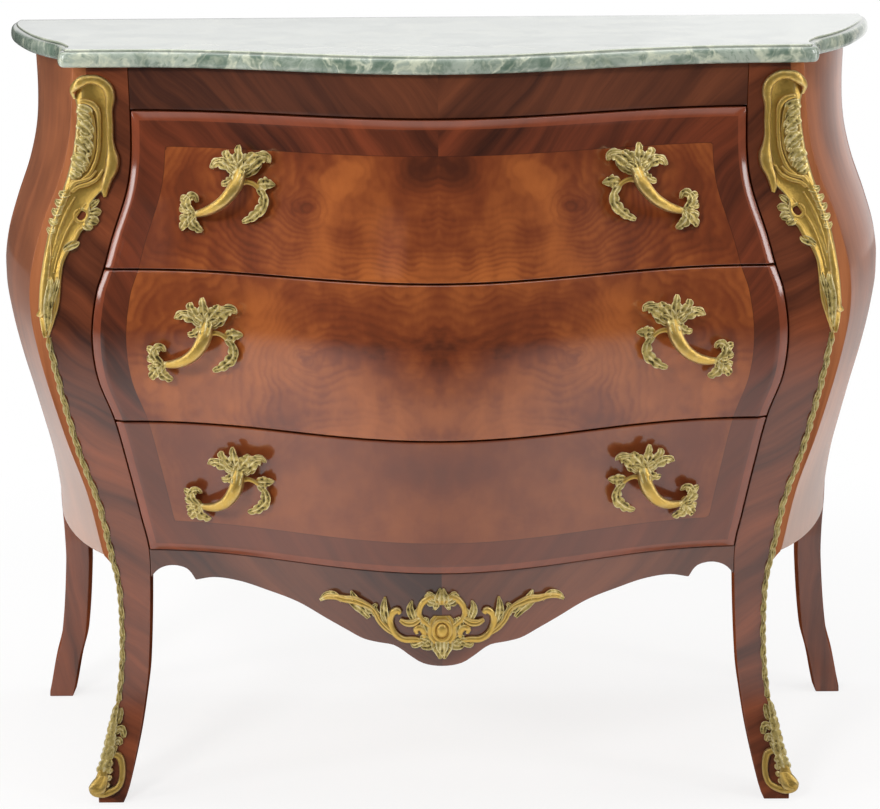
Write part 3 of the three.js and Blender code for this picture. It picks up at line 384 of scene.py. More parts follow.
class Wires:
    """Short names for adding and joining the nodes of one tree."""

    def __init__(self, tree):
        self.tree = tree

    def node(self, kind, inputs=None, output=0, **settings):
        made = self.tree.nodes.new(kind)
        for name, value in settings.items():
            setattr(made, name, value)
        for name, value in (inputs or {}).items():
            self.feed(made.inputs[name], value)
        return Signal(self, made.outputs[output])

    def feed(self, socket, value):
        if isinstance(value, Signal):
            self.tree.links.new(value.socket, socket)
        else:
            socket.default_value = value

    def maths(self, operation, *values, clamp=False):
        inputs = dict(enumerate(values))
        return self.node("ShaderNodeMath", inputs, operation=operation, use_clamp=clamp)

    def vector(self, operation, *values):
        output = "Value" if operation == "LENGTH" else "Vector"
        return self.node("ShaderNodeVectorMath", dict(enumerate(values)), output, operation=operation)

    def combine(self, x, y, z):
        return self.node("ShaderNodeCombineXYZ", {"X": x, "Y": y, "Z": z})

    def split(self, vector):
        made = self.tree.nodes.new("ShaderNodeSeparateXYZ")
        self.feed(made.inputs[0], vector)
        return [Signal(self, socket) for socket in made.outputs]

    def noise(self, vector, scale, detail=3.0, roughness=0.5, output=0):
        inputs = {"Vector": vector, "Scale": scale, "Detail": detail, "Roughness": roughness}
        return self.node("ShaderNodeTexNoise", inputs, output)

    def ramp(self, value, low, high, first=0.0, last=1.0):
        inputs = {"Value": value, "From Min": low, "From Max": high, "To Min": first, "To Max": last}
        return self.node("ShaderNodeMapRange", inputs, interpolation_type="SMOOTHSTEP")

    def mix(self, share, a, b):
        inputs = {0: share, FIRST_COLOUR: a, SECOND_COLOUR: b}
        return self.node("ShaderNodeMix", inputs, MIXED_COLOUR, data_type="RGBA")

    def bump(self, height, distance, strength):
        return self.node("ShaderNodeBump", {"Height": height, "Distance": distance, "Strength": strength})

    def place(self):
        return self.node("ShaderNodeTexCoord", output="Object")

    def attribute(self, name):
        return self.node("ShaderNodeAttribute", output="Fac", attribute_name=name)

    def placed(self, name, **inputs):
        """The colour and the height of a shader group with its own values."""
        made = self.tree.nodes.new("ShaderNodeGroup")
        made.node_tree = bpy.data.node_groups[name]
        for title, value in inputs.items():
            self.feed(made.inputs[title.replace("_", " ")], value)
        return Signal(self, made.outputs["Color"]), Signal(self, made.outputs["Height"])


def group(name, inputs):
    """A new shader group with named inputs, and a colour and a height as outputs."""
    tree = bpy.data.node_groups.new(name, "ShaderNodeTree")
    for title, kind, value in inputs:
        socket = tree.interface.new_socket(title, in_out="INPUT", socket_type=kind)
        if value is not None:
            socket.default_value = value
    for title, kind in (("Color", COLOUR), ("Height", FLOAT)):
        tree.interface.new_socket(title, in_out="OUTPUT", socket_type=kind)
    w = Wires(tree)
    start = tree.nodes.new("NodeGroupInput")
    given = {socket.name: Signal(w, socket) for socket in start.outputs if socket.name}
    return w, given, tree.nodes.new("NodeGroupOutput").inputs


def grain_group():
    """Straight grain: broad stripes, fine pores and a slow change of tone along Y of the vector."""
    if "straight_grain" in bpy.data.node_groups:
        return
    w, given, out = group("straight_grain", [
        ("Vector", VECTOR, None), ("Light", COLOUR, (0.2, 0.07, 0.03, 1)),
        ("Dark", COLOUR, (0.05, 0.02, 0.01, 1)), ("Stripe Scale", FLOAT, 60.0), ("Contrast", FLOAT, 1.0),
    ])
    x, y, z = w.split(given["Vector"])
    across = x + (w.noise(given["Vector"], 7.0, 2.0) - 0.5) * 0.05
    place = w.combine(across, y * 0.06, z)
    stripes = w.noise(place, given["Stripe Scale"], 4.0, 0.6)
    broad = w.noise(place, given["Stripe Scale"] * 0.28, 1.0)
    pores = w.noise(w.combine(across, y * 0.03, z), 900.0, 2.0, 0.6)
    tone = stripes * 0.55 + broad * 0.45
    share = w.maths("ADD", (tone - 0.5) * (given["Contrast"] * 4.0), 0.5, clamp=True)
    colour = w.mix(share, given["Dark"], given["Light"])
    w.feed(out["Color"], w.mix(w.ramp(pores, 0.58, 0.7, 0.0, 0.22), colour, given["Dark"]))
    w.feed(out["Height"], w.ramp(pores, 0.5, 0.72, 1.0, 0.0))


def burl_group():
    """Bookmatched figure: growth lines round a heart on the centre line and round an eye at each side."""
    if "bookmatched_figure" in bpy.data.node_groups:
        return
    w, given, out = group("bookmatched_figure", [
        ("Vector", VECTOR, None), ("Light", COLOUR, (0.4, 0.14, 0.04, 1)),
        ("Red", COLOUR, (0.2, 0.05, 0.02, 1)), ("Dark", COLOUR, (0.12, 0.035, 0.012, 1)),
        ("Heart Height", FLOAT, 0.0), ("Heart Width", FLOAT, 1.2), ("Eye Across", FLOAT, 0.13),
        ("Eye Height", FLOAT, 0.02), ("Seed", FLOAT, 0.0), ("Smoke", FLOAT, 0.4),
        ("Smoke Height", FLOAT, 0.0), ("Line Strength", FLOAT, 1.0),
    ])
    x, _, up = w.split(given["Vector"])
    across, seed, strength = abs(x), given["Seed"], given["Line Strength"]
    place = w.combine(across, seed, up)

    def swing(scale, detail=2.0):
        return w.noise(place, scale, detail) - 0.5

    broad, middling, small, tiny = swing(7.0), swing(19.0), swing(55.0), swing(150.0, 1.0)

    def distance(x, z, wide, tall):
        return w.maths("SQRT", ((across - x) / wide) ** 2.0 + ((up - z) / tall) ** 2.0)

    def thin_lines(field, period, sharpness):
        return (w.maths("SINE", field * (2 * math.pi / period)) * 0.5 + 0.5) ** sharpness

    heart = distance(0.0, given["Heart Height"], given["Heart Width"], 0.85)
    eye = distance(given["Eye Across"], given["Eye Height"], 1.15, 0.85)
    field = heart - w.maths("POWER", math.e, (eye / 0.05) ** 2.0 * -1.0) * 0.07
    for swung, amount in ((broad, 0.22), (middling, 0.05), (small, 0.011), (tiny, 0.002)):
        field = field + swung * amount
    lines = thin_lines(field, 0.0115, 1.4) * w.ramp(swing(11.0), -0.12, 0.1, 0.35, 1.0)
    eye_field = eye + middling * 0.03 + small * 0.016
    rings = thin_lines(eye_field, 0.0095, 2.0) * w.ramp(eye, 0.012, 0.04, 1.0, 0.0)
    flame = w.noise(w.combine(across + middling * 0.03, seed, up * 0.3), 48.0, 3.0, 0.6) - 0.5
    tone = broad * 1.15 + middling * 0.75 + small * 0.35 + flame * 0.4 + 0.64
    tone = tone - w.maths("MAXIMUM", lines, rings) * 0.3 * strength
    tone = tone - w.ramp(eye_field, 0.0, 0.012, 0.4, 0.0) * strength
    tone = tone - w.ramp(heart, 0.0, 0.05, 0.32, 0.0)
    smoke_swing = w.noise(w.combine(across * 0.35, seed, up), 38.0, 4.0, 0.65) - 0.5
    smoke_height = abs(up - given["Smoke Height"])
    near = w.ramp(across, 0.0, 0.17, 1.0, 0.0) * w.ramp(smoke_height, 0.0, 0.04, 1.0, 0.0)
    tone = tone - near * (smoke_swing * 2.2 + 0.6) * given["Smoke"]
    share = w.maths("MAXIMUM", w.maths("MINIMUM", tone, 1.0), 0.0)
    colour = w.mix(w.ramp(share, 0.0, 0.5), given["Dark"], given["Red"])
    colour = w.mix(w.ramp(share, 0.35, 1.0), colour, given["Light"])
    pores = w.noise(w.combine(x, 0.0, up * 0.5), 1400.0, 1.0)
    w.feed(out["Color"], w.mix(w.ramp(pores, 0.6, 0.75, 0.0, 0.25), colour, given["Dark"]))
    w.feed(out["Height"], w.ramp(pores, 0.5, 0.75, 1.0, 0.0))


def new_material(name, roughness=0.4, coat=0.0, coat_roughness=0.05, metallic=0.0, specular=0.5):
    """A named material with one Principled BSDF, and the wires to feed it."""
    material = bpy.data.materials.new(name)
    material.use_nodes = True
    tree = material.node_tree
    tree.nodes.clear()
    shader = tree.nodes.new("ShaderNodeBsdfPrincipled")
    end = tree.nodes.new("ShaderNodeOutputMaterial")
    tree.links.new(shader.outputs[0], end.inputs["Surface"])
    for title, value in {
        "Roughness": roughness, "Coat Weight": coat, "Coat Roughness": coat_roughness,
        "Coat IOR": LACQUER_IOR, "Metallic": metallic, "Specular IOR Level": specular,
    }.items():
        shader.inputs[title].default_value = value
    return material, shader.inputs, Wires(tree)


def slanted(w, place, angle):
    """Coordinates turned so that the grain runs down and away from the centre line on both halves."""
    x, _, z = w.split(place)
    across, cos, sin = abs(x), math.cos(angle), math.sin(angle)
    other_sheet = w.maths("SIGN", x) * OTHER_HALF
    return w.combine(across * cos - z * sin, across * sin + z * cos, other_sheet)


def banding_material(name, degrees, light, dark, contrast, scale=60.0, coat=1.0):
    """Straight-grained veneer laid on the slant under gloss lacquer, or under none with coat at 0."""
    grain_group()
    material, shader, w = new_material(name, coat=coat, coat_roughness=0.12, specular=LACQUERED * coat)
    colour, height = w.placed(
        "straight_grain", Vector=slanted(w, w.place(), math.radians(degrees)), Light=light, Dark=dark,
        Stripe_Scale=scale, Contrast=contrast,
    )
    w.feed(shader["Base Color"], colour)
    w.feed(shader["Normal"], w.bump(height, 0.00005, 0.4))
    return material


def drawer_material(name, settings, calm_and_painted_light, looks):
    """A drawer front: figured field, slanted cross band and a chamfer round the edge, painted lighter as a
    highlight.
    """
    grain_group()
    burl_group()
    material, shader, w = new_material(name, 0.36, coat=1.0, coat_roughness=0.13, specular=LACQUERED)
    place, inset = w.place(), w.attribute("inset")
    burl, burl_height = w.placed(
        "bookmatched_figure", Vector=place, Light=looks.field_light, Red=looks.field_red,
        Dark=looks.field_dark, **settings,
    )
    band, band_height = w.placed(
        "straight_grain", Vector=slanted(w, place, math.radians(40)), Light=looks.band_light,
        Dark=looks.band_dark, Stripe_Scale=70.0, Contrast=0.8,
    )
    # The bottom drawer's lean to the plain colour also paints its cross band lighter, for the light from
    # below.
    figure, cross = w.mix(calm_and_painted_light, burl, looks.plain), w.mix(calm_and_painted_light, band, looks.plain)
    colour = w.mix(w.ramp(inset, BAND_WIDTH - 0.3 * MM, BAND_WIDTH + 0.3 * MM), cross, figure)
    outer = w.ramp(inset, BAND_WIDTH - 0.7 * MM, BAND_WIDTH)
    joint = outer * w.ramp(inset, BAND_WIDTH, BAND_WIDTH + 0.7 * MM, 1.0, 0.0)
    colour = w.mix(joint * 0.6, colour, looks.band_dark)
    chamfer_highlight_share = w.ramp(inset, EDGE_WIDTH - 0.2 * MM, EDGE_WIDTH + 0.2 * MM, 1.0, 0.0)
    # Painted highlight: the chamfer is mixed towards a lighter tone, for the light it catches as it turns
    # outward.
    w.feed(shader["Base Color"], w.mix(chamfer_highlight_share, colour, w.mix(0.55, band, looks.chamfer)))
    w.feed(shader["Normal"], w.bump(burl_height + band_height, 0.00004, 0.35))
    return material


def side_material(looks):
    """The side veneer: two sheets side by side with a soft upright figure, and a painted reflection of the
    floor that makes it paler low down.
    """
    grain_group()
    material, shader, w = new_material("side_veneer", coat=0.5, coat_roughness=0.12, specular=LACQUERED)
    x, y, z = w.split(w.place())
    place = w.combine(abs(y - SIDE_JOINT), z, w.maths("SIGN", x) * OTHER_SIDE)
    grain, height = w.placed(
        "straight_grain", Vector=place, Light=looks.side_light, Dark=looks.side_dark, Stripe_Scale=38.0,
        Contrast=0.55,
    )
    cloud = w.ramp(w.noise(place, 6.0, 3.0), 0.4, 0.66, 0.0, 0.5)
    figure = w.mix(cloud, grain, looks.field_dark)
    # Painted reflection: below mid height the side is mixed towards a pale tone, standing in for the floor
    # mirrored in the lacquer.
    w.feed(shader["Base Color"], w.mix(w.ramp(z, 0.3, 0.62, 0.32, 0.0), figure, looks.side_floor_reflection))
    w.feed(shader["Normal"], w.bump(height, 0.00004, 0.35))
    return material


def board_material(name, along, looks):
    """Plain unfinished boards. along is the axis that the grain follows."""
    grain_group()
    material, shader, w = new_material(name, roughness=0.72, specular=0.3)
    x, y, z = w.split(w.place())
    order = {"X": (y + z * 1.3, x, z), "Y": (x + z, y, z), "Z": (x + y, z, y)}[along]
    colour, height = w.placed(
        "straight_grain", Vector=w.combine(*order), Light=looks.board_light, Dark=looks.board_dark,
        Stripe_Scale=45.0, Contrast=0.8,
    )
    w.feed(shader["Base Color"], colour)
    w.feed(shader["Normal"], w.bump(height, 0.00015, 0.6))
    return material


def marble_material(looks):
    """Grey-green marble: cloudy ground, dark green patches and pale branching veins, with a painted
    reflection on its top face and a painted highlight on its lip.
    """
    material, shader, w = new_material("green_marble", roughness=0.16, coat=0.5, coat_roughness=0.03)
    place = w.place()
    swirl = w.vector("SUBTRACT", w.noise(place, 14.0, 4.0, output="Color"), (0.5, 0.5, 0.5))
    bent = w.vector("ADD", place, w.vector("MULTIPLY", swirl, (0.09, 0.09, 0.05)))
    cloud = w.noise(bent, 18.0, 6.0, 0.62)
    fleck = w.noise(bent, 95.0, 4.0, 0.7)
    cells = {"Vector": bent, "Scale": 26.0}
    vein = w.node("ShaderNodeTexVoronoi", cells, "Distance", feature="DISTANCE_TO_EDGE")
    thin = w.ramp(vein, 0.0, 0.05, 1.0, 0.0)
    broad = w.ramp(abs(w.noise(bent, 9.0, 5.0, 0.6) - 0.5), 0.0, 0.035, 1.0, 0.0)
    ground = w.mix(w.ramp(cloud, 0.36, 0.62), looks.marble_dark, looks.marble_light)
    ground = w.mix(w.ramp(fleck, 0.5, 0.68, 0.0, 0.65), ground, looks.marble_dark)
    veins = w.maths("MAXIMUM", thin * 0.35, broad * 0.9) * w.ramp(fleck, 0.35, 0.6, 0.4, 1.0)
    colour = w.mix(veins, ground, looks.marble_vein_and_lip_highlight)
    z = w.split(place)[2]

    def belt(rise, full, fall, gone, most):
        """A share that comes and goes between heights in millimetres over the slab's lower face."""
        low, top, high, end = (CARCASS + height * MM for height in (rise, full, fall, gone))
        return w.ramp(z, low, top) * w.ramp(z, high, end, most, 0.0)

    # The groove under the lip is darkened with the groove colour.
    colour = w.mix(belt(15.4, 16.4, 16.9, 17.7, 0.75), colour, looks.marble_groove)
    # Painted highlight: the rounded lip at the top edge is mixed towards the pale vein colour.
    colour = w.mix(belt(17.2, 18.0, 18.8, 18.97, 0.6), colour, looks.marble_vein_and_lip_highlight)
    # Painted reflection: the top face is mixed towards a pale grey, standing in for the bright room that the
    # polished slab mirrors.
    upper = w.ramp(z, HEIGHT - 0.5 * MM, HEIGHT - 0.1 * MM) * 0.58
    w.feed(shader["Base Color"], w.mix(upper, colour, looks.marble_top_reflection))
    return material


def brass_material(looks, name="gilt_brass", wear=0.0):
    """Gilt cast brass: a painted highlight on the high places, dull green-brown dirt with painted shade in
    the hollows, darker with wear.
    """
    if name in bpy.data.materials:
        return bpy.data.materials[name]
    material, shader, w = new_material(name, metallic=0.75)
    place, relief, aged = w.place(), w.attribute("relief"), w.attribute("aged")
    mottle = w.noise(place, 190.0, 4.0, 0.6)
    patina_and_shading = relief * 0.75 + (mottle - 0.5) * (aged * 0.75 + 0.35) + 0.14
    # Painted shade, partly real dirt: the hollows of the casting, found from its relief, are mixed towards
    # dull green-brown.
    hollow = w.ramp(patina_and_shading, 0.24, 0.52, 1.0, 0.0)
    # Painted highlight: the high places of the casting, found from its relief, are mixed towards a pale
    # colour.
    bright = w.ramp(patina_and_shading, 0.54, 0.8) * (aged * 0.5 + 0.5)
    plain = w.mix(aged, looks.brass, looks.brass_aged)
    dull = w.mix(aged, looks.brass_hollow_dirt_and_shade, looks.brass_dirt_and_shade)
    colour = w.mix(bright, w.mix(hollow, plain, dull), looks.brass_highlight)
    w.feed(shader["Base Color"], w.mix(wear, colour, looks.brass_dirt_and_shade))
    w.feed(shader["Roughness"], mottle * 0.2 + aged * 0.14 + hollow * 0.15 + 0.26)
    w.feed(shader["Normal"], w.bump(mottle + w.noise(place, 700.0, 3.0, 0.6) * 0.3, 0.0009, 0.7))
    return material


def steel_material():
    """Brushed steel for the screws."""
    material, shader, w = new_material("screw_steel", metallic=1.0)
    scratch = w.noise(w.vector("MULTIPLY", w.place(), (1.0, 0.2, 1.0)), 900.0, 3.0)
    dark, light = (0.32, 0.32, 0.31, 1), (0.5, 0.5, 0.49, 1)
    w.feed(shader["Base Color"], w.mix(scratch, dark, light))
    w.feed(shader["Roughness"], scratch * 0.3 + 0.25)
    return material


# Sizes and colours to change

def linear(red, green, blue):
    """The linear colour of screen values, which run from 0 to 255."""
    def channel(value):
        share = value / 255
        return share / 12.92 if share <= 0.04045 else ((share + 0.055) / 1.055) ** 2.4

    return (channel(red), channel(green), channel(blue), 1.0)


def colour(name, words, *shown):
    """A colour to choose, whose default is written as it shows on a screen, from 0 to 255."""
    return FloatVectorProperty(
        name=name, description=words, subtype="COLOR", size=4, min=0, max=1, default=linear(*shown),
    )


def length(name, words, least, default, most):
    """A length to choose, in metres."""
    return FloatProperty(
        name=name, description=words, subtype="DISTANCE", unit="LENGTH", min=least, max=most, default=default,
    )


class CommodeLooks(bpy.types.PropertyGroup):
    """Colours of the finishes."""

    field_light: colour("Field light", "Light tone of the figured field", 176, 97, 44)
    # On the bottom drawer this colour also paints the cross band lighter, for the light from below.
    plain: colour("Calm wood", "Plain colour that the quieter drawers lean to", 110, 55, 33)
    field_red: colour("Field red", "Middle tone of the figured field", 120, 56, 26)
    field_dark: colour("Field dark", "Dark tone of the figured field", 72, 33, 18)
    band_light: colour("Band light", "Light tone of the cross band", 124, 58, 32)
    band_dark: colour("Band dark", "Dark tone of the cross band", 50, 24, 15)
    frame_light: colour("Frame light", "Light tone of the posts and legs", 146, 76, 44)
    frame_dark: colour("Frame dark", "Dark tone of the posts and legs", 54, 25, 15)
    # The chamfer's lighter tone is a painted highlight, for the light that the turned face catches.
    chamfer: colour("Chamfer", "Tone of the chamfer round a drawer front", 150, 74, 44)
    rail_light: colour("Rail light", "Light tone of the top rail and the apron", 124, 68, 42)
    rail_dark: colour("Rail dark", "Dark tone of the top rail and the apron", 58, 32, 24)
    post_side_light: colour("Post side light", "Light tone of the outer faces of the posts", 172, 108, 70)
    post_side_dark: colour("Post side dark", "Dark tone of the outer faces of the posts", 120, 68, 42)
    side_light: colour("Side light", "Light tone of the side veneer", 190, 114, 68)
    side_dark: colour("Side dark", "Dark tone of the side veneer", 138, 76, 46)
    # A painted reflection of the floor, laid low down on the sides.
    side_floor_reflection: colour("Side faded", "Pale tone low down on the side veneer", 184, 154, 128)
    board_light: colour("Board light", "Light tone of the plain boards", 204, 162, 112)
    board_dark: colour("Board dark", "Dark tone of the plain boards", 156, 112, 70)
    marble_light: colour("Marble light", "Pale ground of the marble", 168, 178, 164)
    marble_dark: colour("Marble dark", "Dark green patches of the marble", 96, 116, 100)
    # The colour that darkens the groove under the lip.
    marble_groove: colour("Marble groove", "Dirt in the groove under the lip", 84, 90, 74)
    # A painted reflection: the pale grey laid over the top face in place of the bright room it mirrors.
    marble_top_reflection: colour("Marble face", "Polished upper face of the marble", 194, 197, 193)
    # Pale veins of the marble, and also a painted highlight on the rounded lip at the top edge.
    marble_vein_and_lip_highlight: colour("Marble vein", "Pale veins of the marble", 206, 210, 186)
    brass: colour("Brass", "Gilt brass", 212, 174, 86)
    brass_aged: colour("Brass aged", "Dulled brass of the leaves", 204, 182, 110)
    # Dirt and painted shade in the hollows between the leaves; also the dark tone that wear mixes in.
    brass_dirt_and_shade: colour("Brass dirt", "Dark hollows between the leaves", 74, 62, 34)
    # A painted highlight, laid on the high places of the castings.
    brass_highlight: colour("Brass bright", "Rubbed high places of the brass", 246, 230, 176)
    # Dirt and painted shade in the hollows of the polished brass.
    brass_hollow_dirt_and_shade: colour("Brass hollow", "Dull hollows of the brass", 118, 90, 40)


class CommodeSizes(bpy.types.PropertyGroup):
    """Sizes of the visible details."""

    edge_round: length("Edge rounding", "How far a wooden edge is rounded", 0.2 * MM, 1.2 * MM, 3 * MM)
    drawer_chamfer: length(
        "Drawer chamfer", "Width of the chamfer round a drawer front", 4 * MM, 9.5 * MM, 12 * MM,
    )
    chamfer_depth: length(
        "Chamfer depth", "Depth of the chamfer round a drawer front", 2 * MM, 5 * MM, 8 * MM,
    )
    drawer_proud: length("Drawer proud", "How far a drawer front stands out", 4 * MM, DRAWER_PROUD, 10 * MM)


def looks_of(context):
    """The chosen colours by name, as plain tuples."""
    chosen = context.scene.commode_looks
    return SimpleNamespace(**{name: tuple(getattr(chosen, name)) for name in CommodeLooks.__annotations__})


def sizes_of(context):
    return context.scene.commode_sizes


# Wooden pieces

def post_side_x(y, z):
    return lerp(keel_half(z), side_x(y, z), case_share(z))


def front_leg_ring(z):
    """One ring of the corner post and leg, from the inner front edge round by the keel."""
    inner, keel = opening_half(z), keel_half(z)
    keel_y = BACK - keel_forward(z)
    back_y = lerp(keel_y + LEG_DEPTH, BACK - POST_BACK, case_share(z))
    chamfer = lerp(LEG_CHAMFER, POST_CHAMFER, case_share(z))
    ring = [(x, front_y(x, z)) for x in spread(inner, keel, LEG_SPANS)]
    ring += [(post_side_x(y, z), y) for y in spread(keel_y, back_y, LEG_SPANS)[1:]]
    ring += [(inner + chamfer, back_y), (inner, back_y - chamfer)]
    return [Vector((x, y, z)) for x, y in ring]


def back_leg_ring(z):
    """One ring of the back leg, which is square inside and follows the side panel outside."""
    in_case = smooth_step(z, SIDE_LOW_BACK - BACK_LEG_RISE, SIDE_LOW_BACK)
    width = lerp(BACK_LEG_WIDTH, BACK_POST_WIDTH, in_case)
    depth = lerp(BACK_LEG_DEPTH, BACK_POST_DEPTH, in_case)
    outer, front, middle = side_half(z), BACK - depth, BACK - depth / 2
    return [Vector((x, y, z)) for x, y in (
        (outer, BACK), (outer - width, BACK), (outer - width, front), (side_x(front, z), front),
        (side_x(middle, z), middle),
    )]


def front_leg(edge_round):
    return post([front_leg_ring(z) for z in spread(0, CARCASS - FIT, LEG_RINGS)], edge_round)


def back_leg(edge_round):
    return post([back_leg_ring(z) for z in spread(0, CARCASS - FIT, LEG_RINGS)], edge_round)


def side_panel(edge_round):
    rows, columns = 70, 30
    places = spread(BACK - POST_BACK + FIT, BACK - BACK_POST_DEPTH - FIT, columns)

    def place(row, column, inset):
        y = places[column]
        along = (y - BACK + POST_BACK) / (POST_BACK - BACK_POST_DEPTH)
        low = lerp(SIDE_LOW_FRONT, SIDE_LOW_BACK, 1 - (1 - along) ** 2)
        z = lerp(low, CARCASS - FIT, row / rows)
        return Vector((side_x(y, z) - inset, y, z))

    return board(rows, columns, place, SIDE_THICK, edge_round)


def top_rail(edge_round):
    rows, columns = 8, 80

    def place(row, column, inset):
        z = lerp(LINES[0] + FIT, CARCASS - FIT, row / rows)
        x = (column / columns * 2 - 1) * (opening_half(z) - FIT)
        return Vector((x, front_y(x, z) + inset, z))

    return board(rows, columns, place, RAIL_THICK, edge_round)


def apron_edge(share):
    """The height of the apron's lower edge, a share of the way out from the middle."""
    drop = APRON(share) if share <= APRON_EAR_START else APRON_EAR(share)
    return LINES[3] - APRON_DROP * drop


def apron(edge_round):
    rows = 14
    shares = spread(0, APRON_EAR_START, 52) + spread(APRON_EAR_START, 1, 22)[1:]
    shares = [-share for share in reversed(shares[1:])] + shares
    half = opening_half(LINES[3])

    def place(row, column, inset):
        share = shares[column]
        z = lerp(apron_edge(abs(share)), LINES[3] - FIT, row / rows)
        x = share * (opening_half(z) - FIT) if abs(share) > APRON_FLARE_START else share * half
        return Vector((x, front_y(x, z) + inset, z))

    return board(rows, len(shares) - 1, place, RAIL_THICK, edge_round)


def drawer_limits(index):
    return LINES[index + 1] + DRAWER_GAP, LINES[index] - DRAWER_GAP


def drawer_inset(index, co):
    """How far a place on a drawer front lies inside its banded edges."""
    low, high = drawer_limits(index)
    inset = opening_half(co.z) - DRAWER_SIDE_GAP - abs(co.x)
    if index == 0:
        inset = min(inset, high - co.z)
    if index == 2:
        inset = min(inset, co.z - low)
    return inset


def drawer_front(index, sizes):
    """One drawer front, chamfered at its ends, and above or below where it meets the rail or the apron."""
    low, high = drawer_limits(index)
    chamfer = sizes.drawer_chamfer
    first, last = index == 0, index == 2
    heights = [low, low + chamfer / 2] if last else []
    heights += spread(low + chamfer if last else low, high - chamfer if first else high, 44)
    heights += [high - chamfer / 2, high] if first else []
    columns, edge_columns = 150, 2

    def across(z, column):
        edge = opening_half(z) - DRAWER_SIDE_GAP
        from_end = min(column, columns - column)
        if from_end <= edge_columns:
            return math.copysign(edge - chamfer * from_end / edge_columns, column - edge_columns - 1)
        return (edge - chamfer) * ((column - edge_columns) / (columns - 2 * edge_columns) * 2 - 1)

    def place(row, column, inset):
        z = heights[row]
        x = across(z, column)
        if inset:
            return Vector((x, front_y(x, z) + inset, z))
        from_edge = min(drawer_inset(index, Vector((x, 0, z))), chamfer) / chamfer
        y = front_y(x, z) - sizes.drawer_proud + sizes.chamfer_depth * (1 - from_edge)
        return Vector((x, max(y, CAD_BOX[0][1]), z))

    return board(len(heights) - 1, columns, place, FRONT_THICK, sizes.edge_round, angle=40)


# Marble

def marble_outline():
    """The slab's outline seen from above: bowed front, ears, and a straight back."""
    front = [
        Vector((x, BACK - MARBLE_REACH - MARBLE_BOW * bow_share(x), 0)) for x in spread(0, MARBLE_CORNER, 44)
    ]
    side = [
        Vector((MARBLE_CORNER * out, BACK - MARBLE_REACH * (1 - along), 0))
        for out, along in MARBLE_CORNER_SHARES
    ]
    right = front[:-1] + through(side, 4)
    return right + [Vector((-p.x, p.y, 0)) for p in reversed(right[1:])]


def marble_top():
    outline = marble_outline()
    rings = []
    for inset, rise in MARBLE_PROFILE:
        ring = []
        for i, here in enumerate(outline):
            run = outline[(i + 1) % len(outline)] - outline[i - 1]
            moved = here - Vector((run.y, -run.x, 0)).normalized() * inset * MM
            if abs(here.y - BACK) < AT_BACK:
                moved = Vector((here.x - math.copysign(inset * MM, here.x), BACK, 0))
            ring.append(Vector((moved.x, moved.y, CARCASS + rise * MM)))
        rings.append(ring)
    bm = bmesh.new()
    skin(bm, rings)
    bmesh.ops.recalc_face_normals(bm, faces=bm.faces[:])
    return bm


# Cast mounts. Their strokes are written in millimetres.

# The keel mounts bend round the keel within WRAP of it, and strokes keep within AROUND_KEEL past it.
WRAP, AROUND_KEEL = 7 * MM, 8.5 * MM

# The lowest height of a casting over the wood, the smallest half width of a strip, the least and the most
# thickness of its metal, and the steps in a lobe.
SEAT, NARROWEST, THINNEST, THICKEST, LOBE_STEPS = 0.6, 0.3, 0.8, 2.2, 8


def on_keel(a, z, w):
    """A place on a right-hand keel mount: a in from the keel, w out from the wood."""
    if a > 0:
        x = keel_half(z) - a
        y = front_y(x, z)
    else:
        y = BACK - keel_forward(z) - a
        x = post_side_x(y, z)
    turn = min(max((a + WRAP) / (2 * WRAP), 0), 1) * math.pi / 2
    return Vector((x + w * math.cos(turn), y - w * math.sin(turn), z))


def on_apron(x, z, w):
    """A place on the apron mount, w out from the wood."""
    return Vector((x, front_y(x, z) - w, z))


# Where each drawer's right-hand handle sits, the points of a handle that must clear the wood, and its posts.
HANDLES = [(221.5, 699), (260.3, 544), (230.1, 381)]
HANDLE_RIM = [
    (-5, 5), (-16, 23), (-14, 28), (0, 41), (13, 46), (27, 38), (43, 34), (49, 26), (33, 21), (13, 3),
    (-31, -22), (-49, -11), (-53, -26), (-50, -43), (-37, -49), (-26, -47), (22, 8), (50, 9), (55, 3),
    (45, -11), (26, -33), (17, -37), (34, -17), (15, -3),
]
HANDLE_POSTS = [(16, 22), (-40, -30)]
HANDLE_REACH, HANDLE_CLEARANCE = 25 * MM, 0.8 * MM


def on_drawer(index, turn=1):
    """Lays a handle's casting on its drawer front, and says how far its base plane stands over the wood."""
    x, z = (value * MM for value in HANDLES[index])

    def surface(x, z):
        return front_y(x, z) - DRAWER_PROUD

    slope_x = (surface(x + HANDLE_REACH, z) - surface(x - HANDLE_REACH, z)) / (2 * HANDLE_REACH)
    slope_z = (surface(x, z + HANDLE_REACH) - surface(x, z - HANDLE_REACH)) / (2 * HANDLE_REACH)
    out = Vector((slope_x, -1, slope_z)).normalized()
    across = Vector((-1, -slope_x, 0)).normalized()
    up = out.cross(across)
    up = up if up.z > 0 else -up
    middle = Vector((x, surface(x, z), z))
    base = 0
    for u, v in HANDLE_RIM:
        start, w = middle + across * u * MM + up * v * MM, 0
        for _ in range(8):
            here = start + out * w
            w += (here.y - surface(here.x, here.z)) / -out.y
        base = max(base, w)
    base += HANDLE_CLEARANCE
    origin = middle + out * base

    def lay(u, v, w):
        here = origin + across * u + up * v + out * w
        return Vector((here.x * turn, here.y, here.z))

    return lay, base


